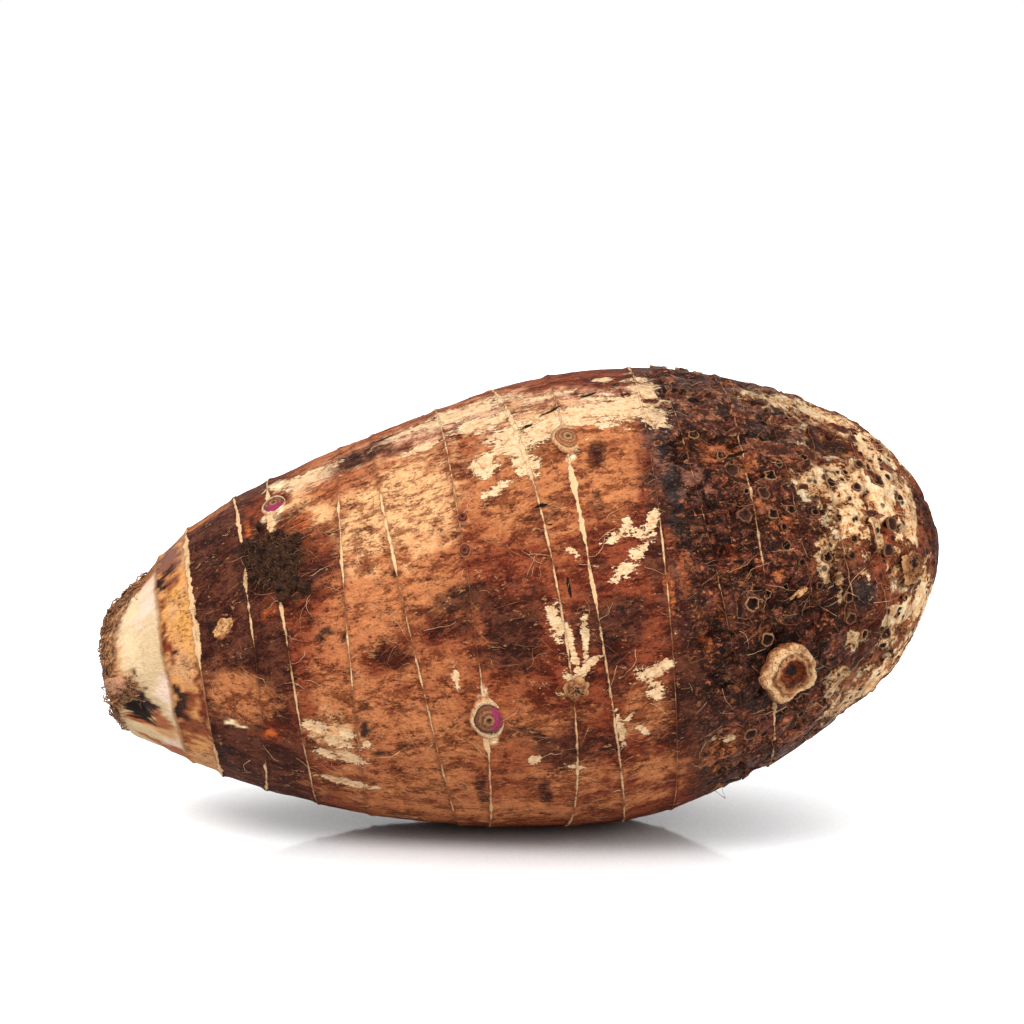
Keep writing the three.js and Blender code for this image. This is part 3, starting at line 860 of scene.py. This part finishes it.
def scar_lines(g, colour):
    """Pale lines along the leaf scars, in a little shade."""
    scar_line = g.attribute("scar_line")
    off = g.math("ABSOLUTE", g.rough(g.attribute("scar_off"), (g.noise(g.spot, 4, 4, 0.62), 0.45)))
    near = g.step(g.attribute("scar_near"), 0.2, 0.8)
    strength = g.noise(g.spot, 7, 4, 0.66)
    line_width = g.times(scar_line, g.rough(0.85, (strength, 3.8), (g.mottle, 1.8)))
    line = g.times(near, g.step(g.math("SUBTRACT", off, line_width), 0.1, -0.16))
    g.raised += [(line, 0.5)]
    shade = g.times(near, g.step(g.rough(off, (g.mottle, 1.6)), 1.3, 0.2))
    colour = g.over(colour, g.darkened(g.paint, (150, 120, 110)), shade, 0.35)
    brightness = g.rough(scar_line, (strength, 1.6), (g.grain, 0.5))
    return g.mix(line, colour, g.mix(g.step(brightness, 0.1, 0.45), (172, 108, 70), (226, 182, 134)))


def peeled_patches(g, colour):
    """Patches that bare the pale skin underneath, and cracks."""
    peel = g.rough(g.attribute("peeled"), (g.ragged, 4.0), (g.mottle, 1.0), (g.grain, 1.2), (g.streak, 1.4))
    peeled = g.step(peel, -0.1, 0.08)
    bare = g.ramp(g.rough(0.6, (g.mottle, 1.1), (g.grain, 0.7), (g.streak, 0.4)), [
        (0.2, BROWN), (0.36, (192, 134, 92)), (0.52, (214, 172, 128)), (0.75, (232, 200, 158))])
    colour = g.over(colour, bare, 0.94, peeled)
    crack = g.step(g.rough(g.attribute("crack"), (g.ragged, 1.4)), 0.4, 0.6)
    g.raised += [(peeled, -0.4), (crack, -1.0)]
    return g.mix(crack, colour, SOOT)


def ragged_rim(g, colour):
    """The brown rim of the trimmed shoot end."""
    rim = g.rough(g.attribute("cut"), (g.noise(g.spot, 5, 5, 0.62, 0.5), 1.3))
    cut = g.ramp(g.rough(0.46, (g.mottle, 1.0), (g.streak, 0.9), (g.smudge, 1.0)), [
        (0.1, SOOT), (0.32, (84, 52, 34)), (0.52, (146, 100, 64)), (0.72, (196, 148, 100)),
        (0.92, (232, 192, 142))])
    return g.mix(g.step(rim, -0.15, 0.3), colour, cut)


def skin_material():
    g = SkinGraph()
    colour = mottled_paint(g)
    for layer in (worn_paint, trimmed_flesh, crumpled_bark, pale_crust, scar_lines, peeled_patches,
                  ragged_rim):
        colour = layer(g, colour)
    height = g.add(*(g.times(share, gain) for share, gain in g.raised))
    worn = g.add(g.mottle, g.times(g.bark, -0.6))
    roughness = g.node("MapRange", {"Value": worn, "To Min": 0.4, "To Max": 0.95})
    return g.surface(colour, roughness, SKIN_SPECULAR, height, 0.0006)


# ---------------------------------------------------------------------------------------------------------
# The skin


def skin():
    angle = GRID_ANGLE
    along = SMOOTH[..., 0]
    lift = fine_relief(SMOOTH, along, angle) - root_scar_dents(along, angle)
    points = SMOOTH + normals_of(SMOOTH) * lift[..., None]
    rows, columns = GRID_T.shape
    ends = smooth_skin(np.array([0.0, LAST_ROW]), np.zeros(2))
    distance, line, _ = nearest_scar(along, angle)
    face = GRID_T < FIRST_BODY_ROW
    first, second = scar_at(SCARS[0], angle), scar_at(SCARS[1], angle)
    on_flesh = 1 - smooth(along, first - 0.3, first + 0.3)
    on_band = (1 - on_flesh) * (1 - smooth(along, second - 0.3, second + 0.3))
    height = np.degrees(np.arcsin(np.sin(angle)))
    rim = np.interp(height, *np.array(RIM_REACH).T)
    cut = np.where(face, 1.0, 1 - along / rim) * on_flesh - 1.2 * (1 - on_flesh)
    places, grounds = zip(*GROUND)
    grounds = linear(grounds)
    paint = np.stack([np.interp(along, places, grounds[:, k]) for k in range(3)], -1)
    paint = painted(paint, PAINT, along, angle)
    paint = paint + (linear(IVORY) - paint) * on_flesh[..., None]
    paint = painted(paint, FLESH_PAINT, along, angle, on_flesh)
    paint = paint + (linear(BAND_GROUND) - paint) * on_band[..., None]
    paint = painted(paint, BAND_PAINT, along, angle, on_band)
    body = 1 - np.maximum(on_flesh, on_band)
    values = {
        "place": SMOOTH, "paint": paint, "scar_off": distance,
        "scar_near": smooth(-np.abs(distance), -3.4, -2.6), "scar_line": line,
        "cut": np.clip(cut, -1.2, 1), "crack": field(on_both_sides(CRACKS), along, angle) - 2 * (1 - body),
        "flesh": on_flesh, "band": on_band,
        "peeled": np.where(body > 0.5, field(PEELED_ALL, along, angle), -1.5),
        "dark": field(on_both_sides(DIM), along, angle), "rust": field(on_both_sides(RUSTY), along, angle),
        "bark": bark_share(along), "crust": field(on_both_sides(CRUST), along, angle)
        - 1.3 * smooth(field(on_both_sides(BARE), along, angle), -0.2, 0.5),
        # low marks where the fine relief sinks deep, for painted shade there.
        "pitted": smooth(along, 150, 188), "layer": bark_layer(SMOOTH), "low": smooth(lift, -1.0, -2.0),
    }
    attributes = {}
    for key, value in values.items():
        flat = value.reshape(rows * columns, -1)
        flat = np.vstack([flat, flat[:columns].mean(0), flat[-columns:].mean(0)])
        attributes[key] = flat if flat.shape[1] > 1 else flat[:, 0]
    vertices = np.vstack([points.reshape(-1, 3), ends])
    first_end, last_end, last_ring = rows * columns, rows * columns + 1, (rows - 1) * columns
    faces = ring_faces(rows, columns) + flipped(fan_faces(first_end, 0, columns))
    faces += fan_faces(last_end, last_ring, columns)
    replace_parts(mesh_object("corm_skin", vertices, faces, attributes, skin_material()), NODE)


skin()

# ---------------------------------------------------------------------------------------------------------
# Buds, the side shoot, root scars, fibres and flakes of bark


class Pile:
    """Gathers many small shapes into one piece."""

    def __init__(self):
        self.points, self.faces, self.values, self.count = [], [], {}, 0

    def add(self, points, faces, **values):
        points = np.asarray(points).reshape(-1, 3)
        self.faces += [tuple(i + self.count for i in face) for face in faces]
        self.points.append(points)
        self.count += len(points)
        for key, value in values.items():
            self.values.setdefault(key, []).append(np.broadcast_to(value, len(points)))

    def piece(self, name, material):
        values = {key: np.concatenate(parts) for key, parts in self.values.items()}
        return mesh_object(name, np.vstack(self.points), self.faces, values, material)


def turned(pile, profile, along, around, segments, wobble, ripple, pointed=0, lean=(0, 0), notch=(0, 0),
           **values):
    """Adds a lathe shape standing on the skin, from its outer edge to its middle. pointed draws its outer
    edge out along the leaf scar, lean shifts its middle, and notch is an angle and the share cut off
    there."""
    (point,), (normal,) = surface(along, around)
    lengthways = np.array([1.0, 0, 0]) - normal * normal[0]
    lengthways /= np.linalg.norm(lengthways)
    sideways = np.cross(lengthways, normal)
    turn = np.linspace(0, 2 * math.pi, segments, endpoint=False)
    distance, height = np.array(profile, float).T[:, :, None]
    share = np.linspace(0, 1, len(profile))[:, None] * np.ones(segments)
    uneven = noise(np.stack([2 * np.cos(turn), 2 * np.sin(turn), turn * 0 + along], -1), 1.3)
    reach = distance * (1 + wobble * uneven) * (1 + pointed * (1 - share) ** 2 * np.abs(np.sin(turn)) ** 6)
    reach = reach * (1 - notch[1] * np.exp(-((turn_between(turn, notch[0]) / 0.3) ** 2)))
    x, y = reach * np.cos(turn) + lean[0] * share, reach * np.sin(turn) + lean[1] * share
    points = point + normal * height[..., None] + lengthways * x[..., None] + sideways * y[..., None]
    points = points + normal * (ripple * noise(points, 1.1))[..., None]
    rows = len(profile)
    middle = points[-1].mean(0) + normal * 0.1
    faces = ring_faces(rows, segments) + fan_faces(rows * segments, (rows - 1) * segments, segments)
    all_turns = np.append(np.broadcast_to(turn, share.shape).ravel(), 0)
    pile.add(np.vstack([points.reshape(-1, 3), middle]), faces, ring=np.append(share.ravel(), 1),
             turn_x=np.cos(all_turns), turn_y=np.sin(all_turns), **values)
    return points


def rings_material(name, stops, size=1.2, tinted=None, roughness=0.6, ring_share=1.0, reach=0.0004):
    """Colours by the ring attribute, broken up by noise, or mostly by the noise where ring_share is small,
    with an optional second colour by the tint attribute."""
    g = Graph(bpy.data.materials.new(name))
    place = g.place()
    mottle = g.noise(place, size, 5, 0.65)
    grain = g.noise(place, size / 4, 3, 0.6)
    spread = 0.35 + 1.3 * (1 - ring_share)
    level = g.add(g.times(g.attribute("ring"), ring_share), 0.5 * (1 - ring_share))
    colour = g.ramp(g.rough(level, (mottle, spread), (grain, spread / 3)), stops)
    if tinted:
        colour = g.over(colour, tinted, g.attribute("tint"), g.step(mottle, 0.25, 0.5))
    colour = g.mix(g.step(g.rough(grain, (mottle, 0.6)), 0.36, 0.5), g.mix(0.45, colour, DARK), colour)
    return g.surface(colour, roughness, RINGS_SPECULAR, g.add(mottle, g.times(grain, 0.6)), reach)


def side_shoot():
    pile = Pile()
    profile = [(5.4, -2.2), (5.6, -0.4), (6.4, 0.9), (7.2, 1.9), (7.45, 3.2), (7.1, 4.4), (6.4, 5),
               (5.7, 4.9), (5.2, 4.3), (4.9, 4.4), (4.6, 4.9), (4, 5.1), (3.5, 4.7), (3.1, 3.9), (2.7, 3.2),
               (2.1, 2.9), (1.5, 3.2), (0.9, 3)]
    points = turned(pile, profile, *SHOOT, 96, 0.17, 0.7, lean=(0.9, -0.5), notch=(1.3, 0.16))
    worn = smooth(rough_noise(points, 4), 0.0, 0.3) * (np.arange(len(profile)) < 12)[:, None]
    pile.values["tint"] = [np.append(worn.ravel(), 0)]
    pile.piece("side_shoot", rings_material("shoot_surface", [
        (0, SOOT), (0.16, DARK), (0.22, (140, 86, 54)), (0.3, (200, 148, 100)), (0.38, (236, 200, 150)),
        (0.45, (190, 132, 86)), (0.52, (96, 54, 36)), (0.58, (208, 156, 108)), (0.66, (150, 90, 54)),
        (0.72, DARK), (0.82, (150, 70, 34)), (0.93, SOOT)], 1.4, tinted=(140, 82, 46), ring_share=0.94))


def buds():
    profile = [(1.36, -0.5), (1.28, -0.05), (1.18, 0.22), (1.08, 0.3), (1.02, 0.1), (0.96, -0.1), (0.9, 0.45),
               (0.82, 0.75), (0.7, 0.65), (0.64, 0.85), (0.5, 0.95), (0.42, 0.75), (0.34, 0.95), (0.2, 0.95),
               (0.12, 0.7)]
    fresh = rings_material("bud_surface", [
        (0, ORANGE), (0.08, STRAW), (0.2, CREAM), (0.3, (90, 50, 36)), (0.38, (150, 92, 60)),
        (0.5, (104, 60, 44)), (0.62, (176, 122, 82)), (0.72, (84, 48, 36)), (0.86, (190, 134, 88)),
        (1, DARK)], 0.9, tinted=(158, 52, 92))
    dry = rings_material("dry_bud_surface", [
        (0, BROWN), (0.1, STRAW), (0.24, (216, 172, 126)), (0.34, (120, 74, 48)), (0.42, (188, 132, 88)),
        (0.54, BROWN), (0.64, (190, 136, 92)), (0.74, (116, 70, 46)), (0.86, (196, 146, 100)),
        (1, UMBER)], 0.9)
    small = rings_material("small_bud_surface", [
        (0, BROWN), (0.12, (176, 116, 76)), (0.26, (136, 74, 50)), (0.42, (90, 40, 32)),
        (0.6, (150, 78, 56)), (0.8, (96, 44, 34)), (1, DARK)], 0.6)
    for number, (along, around, radius) in enumerate(BUDS):
        pile = Pile()
        shape = [(r * radius, h * (0.45 + 0.16 * radius)) for r, h in profile]
        turned(pile, shape, along, around, 40, 0.05, 0.1, pointed=0.3)
        turn_x, turn_y, ring = (pile.values[key][0] for key in ("turn_x", "turn_y", "ring"))
        side = MAGENTA.get(number, (0, 0))
        inside = smooth(ring, 0.3, 0.4) * (1 - smooth(ring, 0.7, 0.9))
        pile.values["tint"] = [smooth(side[0] * turn_x + side[1] * turn_y, 0.1, 0.5) * inside]
        pile.piece(f"bud_{number + 1}", small if radius < 2 else dry if number in DRY_BUDS else fresh)


def root_scar_rims():
    pile = Pile()
    profile = [(1.35, -0.35), (1.2, 0.1), (1.08, 0.26), (0.96, 0.18), (0.84, -0.25), (0.7, -0.8), (0.4, -1.1)]
    random = np.random.default_rng(8)
    for along, around, radius in ALL_ROOT_SCARS:
        lift = random.uniform(0.2, 1.5)
        shape = [(r * radius, h * lift if h > 0 else h) for r, h in profile]
        turned(pile, shape, along, around, 16, 0.38, 0.24, tint=random.random())
    # The colour darkens to near black towards each hole's middle: partly the hole's own dark, partly painted
    # shade in it.
    pile.piece("root_scars", rings_material("root_scar_surface", [
        (0, UMBER), (0.14, (120, 76, 50)), (0.28, (176, 126, 84)), (0.38, (196, 148, 104)),
        (0.48, (96, 58, 40)), (0.6, SOOT), (1, (16, 11, 10))], 1.0, tinted=(92, 56, 42), ring_share=0.85))


def plate(pile, along, around, length, width, turn, thickness, lift, lumps, segments=30, **values):
    """Adds a ragged flake or lump lying on the skin. lift raises its edge towards its own +Y side."""
    angle = np.linspace(0, 2 * math.pi, segments, endpoint=False)
    share = np.array([1.0, 1.0, 0.94, 0.84, 0.72, 0.58, 0.44, 0.3, 0.16])[:, None]
    drop = thickness * np.sqrt(np.maximum(1 - share**3, 0))
    drop[0] = -0.5
    place = np.stack([3 * np.cos(angle) + along, 3 * np.sin(angle), angle * 0], -1)
    uneven = 1 + 0.3 * rough_noise(place, 1.6)
    x = length * share * np.cos(angle) * uneven
    y = width * share * np.sin(angle) * uneven
    c, s = direction(turn)
    u = along + x * c - y * s
    v = around + np.degrees((x * s + y * c) / radius_at(along))
    points, normals = surface(np.clip(u, 1, 210).ravel(), v.ravel())
    bumps = lumps * rough_noise(points.reshape(*x.shape, 3), 1.8) * (share < 1)
    height = drop + lift * smooth(y / width, -0.5, 1.0) + bumps
    points = points + normals * height.ravel()[:, None]
    rows, middle = len(share), points[-segments:].mean(0)
    faces = flipped(ring_faces(rows, segments) + fan_faces(rows * segments, (rows - 1) * segments, segments))
    ring = np.append((1 - np.broadcast_to(share, x.shape)).ravel(), 1)
    pile.add(np.vstack([points, middle]), faces, ring=ring, **values)


def flakes():
    pile = Pile()
    random = np.random.default_rng(17)
    for _ in range(44):
        place, around = random.uniform(144, 204), random.uniform(20, 165)
        length, width = random.uniform(1.0, 4.0), random.uniform(0.35, 0.9)
        turn = random.normal(-10, 30)
        plate(pile, place, around, length, width, turn, 0.15, random.uniform(0.2, 0.8), 0.35, 22)
    for along, around, length, width, turn, lift in (
            [172, 47, 6.5, 2.2, -12, 0.9], [156, 58, 5, 1.2, -22, 0.6], [166, 60, 3.4, 1.3, 10, 0.7],
            [158, 62, 3, 1, 20, 0.5], [163, 52, 2.4, 1, 0, 0.5], [176, 62, 4, 1.6, 14, 0.6],
            [151, 66, 3, 1.4, -10, 0.5], [181, 48, 3, 1.4, -30, 0.6]):
        plate(pile, along, around, length, width, turn, 0.35, lift, 0.15)
        plate(pile, along + 4, 183 - around, length, width, -turn, 0.35, lift, 0.15)
    pile.piece("bark_flakes", rings_material("flake_surface", [
        (0.1, SOOT), (0.28, (178, 124, 86)), (0.38, (116, 66, 46)), (0.5, UMBER), (0.7, DARK),
        (0.9, (112, 64, 48))], 1.6, roughness=0.75, ring_share=0.35))


def clump():
    """Soil and fibres stuck in a torn leaf base."""
    pile = Pile()
    for lump in ([51, 37, 5.4, 5.2, 20, 1.7, 0, 1.1, 64], [45.5, 42, 4.2, 2.2, -30, 1.2, 0, 0.9, 40],
                 [53, 31.5, 3.8, 3, 50, 0.9, 0, 0.8, 40], [55.5, 41.5, 2.4, 1.8, 0, 0.8, 0, 0.8, 36],
                 [48, 31, 2.2, 2.6, 0, 0.7, 0, 0.8, 36]):
        plate(pile, *lump, tint=0)
    random = np.random.default_rng(3)
    for _ in range(34):
        place, around, size = random.normal(50, 3.4), random.normal(37, 4.6), random.uniform(0.6, 2.4)
        turn = random.uniform(0, 180)
        plate(pile, place, around, size, size * 0.7, turn, 0.7 + 0.7 * size, 0, 0.9, 24, tint=0)
    count = 170
    threads(pile, random.normal(50, 3.6, count), random.normal(37, 4.6, count),
            random.uniform(-3, 3, count), random.uniform(2, 6, count), random.uniform(0.07, 0.16, count),
            random.uniform(0.8, 2.4, count), np.full(count, 0.5), random, tint=random.random(count))
    pile.piece("soil_clump", rings_material("soil_surface", [
        (0.2, SOOT), (0.42, (44, 26, 19)), (0.56, (92, 58, 40)), (0.68, (30, 19, 14)),
        (0.9, (140, 96, 66))], 1.6, tinted=(156, 112, 76), roughness=0.9, ring_share=0.05, reach=0.0011))


def crown_shreds():
    """Torn fibres along the rim of the trimmed shoot end, a torn tongue of flesh and a spike."""
    random = np.random.default_rng(14)
    pile = Pile()
    for count, low, high, bottom, top in (
            (150, 1.5, 5, -200, 160), (70, 4, 15, 62, 112), (40, 6, 12, -22, 4)):
        place, around = random.uniform(low, high, count), random.uniform(bottom, top, count)
        threads(pile, place, around, random.normal(math.pi, 0.5, count), random.uniform(1.5, 4, count),
                random.uniform(0.12, 0.34, count), random.uniform(0.2, 1.0, count), np.full(count, 0.25),
                random, tint=random.uniform(0, 0.6, count))
    spikes = np.array([[7, -14, math.pi, 5.5, 0.5, 2.2, 0.1], [6, -10, math.pi, 4, 0.4, 1.2, 0.2]])
    threads(pile, *spikes.T, random, tint=[0.1, 0.3])
    plate(pile, 5.2, -3, 2.8, 2.6, 20, 0.9, 0.8, 0.4, tint=0.9)
    pile.piece("crown_shreds", rings_material("shred_surface", [
        (0.1, DARK), (0.35, (104, 68, 44)), (0.6, (156, 108, 70)), (0.85, (214, 166, 118))], 1.2,
        tinted=(206, 148, 112), ring_share=0.1))


def old_stubs():
    """A woody knob on a leaf scar and the scar of a lost side corm near the root end."""
    pile = Pile()
    plate(pile, 117.2, -11.6, 3.2, 2.6, 10, 1.3, 0, 0.5, turn_x=0, turn_y=0)
    profile = [(1.15, -0.6), (1.05, 0.2), (0.98, 0.7), (0.88, 0.6), (0.8, 0.1), (0.72, -0.1), (0.64, 0.5),
               (0.52, 0.6), (0.42, 0.1), (0.3, 0.4), (0.16, 0.2)]
    scar = [(4.2 * r, h * 0.8) for r, h in profile]
    turned(pile, scar, 202.3, -7, 64, 0.4, 0.9, lean=(0.6, -1))
    pile.piece("old_stubs", rings_material("knob_surface", [
        (0.1, (214, 166, 118)), (0.3, (178, 124, 78)), (0.42, UMBER), (0.54, (172, 118, 74)), (0.66, DARK),
        (0.8, SOOT), (1, SOOT)], 2.2, roughness=0.8, ring_share=0.5))


def loose_chips():
    pile = Pile()
    plate(pile, 35.4, 17.5, 2.9, 1.9, 30, 0.35, 0.1, 0.1)
    plate(pile, 172.6, 0, 2.4, 0.8, 24, 0.3, 0.3, 0.15)
    pile.piece("loose_chips", rings_material("chip_surface", [
        (0.2, BROWN), (0.4, (186, 128, 78)), (0.6, (214, 164, 108)), (0.85, (232, 192, 140))], 1.0,
        ring_share=0.1))


def threads(pile, along, around, heading, length, radius, lift, bend, random, **values):
    """Adds thin roots that lie on the skin. The first seven arguments after pile hold one value each."""
    steps, sides = 7, 3
    count = len(along)
    spread = np.cumsum(random.normal(0, 1, (count, steps)) * bend[:, None], axis=1)
    headings = heading[:, None] + spread
    pace = (length / (steps - 1))[:, None]
    x = along[:, None] + np.cumsum(np.cos(headings) * pace, axis=1)
    turns = np.cumsum(np.sin(headings) * pace, axis=1) / radius_at(along)[:, None]
    y = np.radians(around)[:, None] + turns
    points, normals = surface(np.clip(x, 1, 209).ravel(), np.degrees(y).ravel())
    points, normals = points.reshape(count, steps, 3), normals.reshape(count, steps, 3)
    arch = np.sin(np.linspace(0, math.pi, steps)) ** 0.7
    height = radius[:, None] * 0.6 + lift[:, None] * arch * random.uniform(0.4, 1.2, (count, steps))
    points = points + normals * height[..., None]
    forward = np.gradient(points, axis=1)
    forward /= np.linalg.norm(forward, axis=-1, keepdims=True)
    sideways = np.cross(forward, normals)
    taper = radius[:, None] * np.linspace(1.0, 0.35, steps)
    turn = np.linspace(0, 2 * math.pi, sides, endpoint=False)[:, None]
    circle = sideways[:, :, None] * np.cos(turn) + normals[:, :, None] * np.sin(turn)
    rings = points[:, :, None] + taper[:, :, None, None] * circle
    last = (steps - 1) * sides
    faces = ring_faces(steps, sides) + [tuple(range(sides)), tuple(reversed(range(last, last + sides)))]
    for k in range(count):
        pile.add(rings[k], faces, ring=np.repeat(np.linspace(0, 1, steps), sides),
                 **{key: value[k] for key, value in values.items()})


def fine_roots():
    random = np.random.default_rng(21)
    pile = Pile()
    for count, low, high, bottom, top in (
            (330, 52, 140, -70, 60), (330, 140, 208, -80, 85), (70, 42, 60, 22, 48), (50, 30, 52, -50, 60),
            (380, 30, 208, 90, 270)):
        along = random.uniform(low, high, count)
        around = random.uniform(bottom, top, count)
        heading = random.normal(0, 0.7, count) + np.where(random.random(count) < 0.5, 0, math.pi)
        size = random.random(count) ** 2
        threads(pile, along, around, heading, 2.0 + 6.5 * size, 0.045 + 0.05 * size, 0.12 + 0.4 * size,
                0.12 + 0.3 * random.random(count), random, tint=random.random(count))
    g = Graph(bpy.data.materials.new("fine_root_surface"))
    colour = g.ramp(g.attribute("tint"), [(0, (120, 72, 44)), (0.4, (176, 116, 74)), (1, (228, 184, 142))])
    colour = g.mix(g.step(g.noise(g.place(), 1.2, 2), 0.4, 0.6), g.mix(0.35, colour, DARK), colour)
    hanging = np.array([[146.5, -68.5, 1.2, 4.6, 0.16, 2.6, 0.5], [147, -67, 2.4, 3.4, 0.1, 1.6, 0.6]])
    threads(pile, *hanging.T, random, tint=[0.1, 0.2])
    pile.piece("fine_roots", g.surface(colour, 0.7, FINE_ROOT_SPECULAR))


side_shoot()
buds()
root_scar_rims()
flakes()
clump()
crown_shreds()
old_stubs()
loose_chips()
fine_roots()

# ---------------------------------------------------------------------------------------------------------
# Floor, light and camera

EYE_TARGET = Vector((-0.00186, 0, 0.0793))
EYE_DISTANCE = 0.711
EYE_RISE = math.radians(8)
LAMP_TARGET = Vector((0, 0, 0.05))
WORLD_LIGHT = 0.42
WHITE = (1, 1, 1, 1)


def floor():
    mesh = bpy.data.meshes.new("floor")
    mesh.from_pydata([(-3, -3, 0), (3, -3, 0), (3, 3, 0), (-3, 3, 0)], [], [(0, 1, 2, 3)])
    piece = bpy.data.objects.new("floor", mesh)
    bpy.context.scene.collection.objects.link(piece)
    g = Graph(bpy.data.materials.new("floor_white"))
    gloss = {"Roughness": 0.08, "IOR": 1.5}
    colour = g.mix(g.noise(g.node("TexCoord", {}, 3), 0.02), (216, 216, 217), (220, 220, 220))
    plain = g.node("BsdfPrincipled", {"Base Color": colour, **gloss})
    # White for the camera and in reflections, except close under the corm. There the glow fades and the
    # floor's colour darkens by ambient occlusion: a painted shadow under the corm.
    open_share = g.node("AmbientOcclusion", {"Distance": 0.06}, "AO", samples=4)
    colour = g.mix(g.step(open_share, 0.05, 0.26), (116, 104, 98), colour)
    shaded = g.node("BsdfPrincipled", {"Base Color": colour, **gloss})
    glow = g.add(g.times(g.step(open_share, 0.2, 0.52), 0.35), g.times(g.step(open_share, 0.52, 0.88), 0.65))
    glow = g.node("Emission", {"Color": WHITE, "Strength": glow})
    shown = g.node("AddShader", {0: shaded, 1: glow})
    g.node("OutputMaterial", {"Surface": g.node("MixShader", {0: g.seen(), 1: plain, 2: shown})})
    mesh.materials.append(g.owner)


def world():
    studio = bpy.data.worlds.new("studio")
    bpy.context.scene.world = studio
    g = Graph(studio)
    light, shown = (g.node("Background", {"Color": WHITE, "Strength": power}) for power in (WORLD_LIGHT, 1.0))
    g.node("OutputWorld", {"Surface": g.node("MixShader", {0: g.seen(), 1: light, 2: shown})})


def lamp(name, place, size, power):
    light = bpy.data.lights.new(name, "AREA")
    light.size = size
    light.energy = power
    piece = bpy.data.objects.new(name, light)
    piece.location = place
    piece.rotation_euler = (LAMP_TARGET - Vector(place)).to_track_quat("-Z", "Y").to_euler()
    bpy.context.scene.collection.objects.link(piece)


def camera():
    data = bpy.data.cameras.new("camera")
    data.lens = 100
    data.sensor_width = 36
    data.clip_end = 10
    eye = bpy.data.objects.new("camera", data)
    back = Vector((0, -math.cos(EYE_RISE), math.sin(EYE_RISE)))
    eye.location = EYE_TARGET + back * EYE_DISTANCE
    eye.rotation_euler = back.to_track_quat("Z", "Y").to_euler()
    bpy.context.scene.collection.objects.link(eye)
    bpy.context.scene.camera = eye


floor()
world()
lamp("key_light", (-0.5, -0.6, 0.9), size=0.5, power=13.4)
lamp("fill_light", (0.8, -0.7, 0.35), size=0.8, power=9)
camera()
bpy.context.scene.view_settings.view_transform = "Standard"
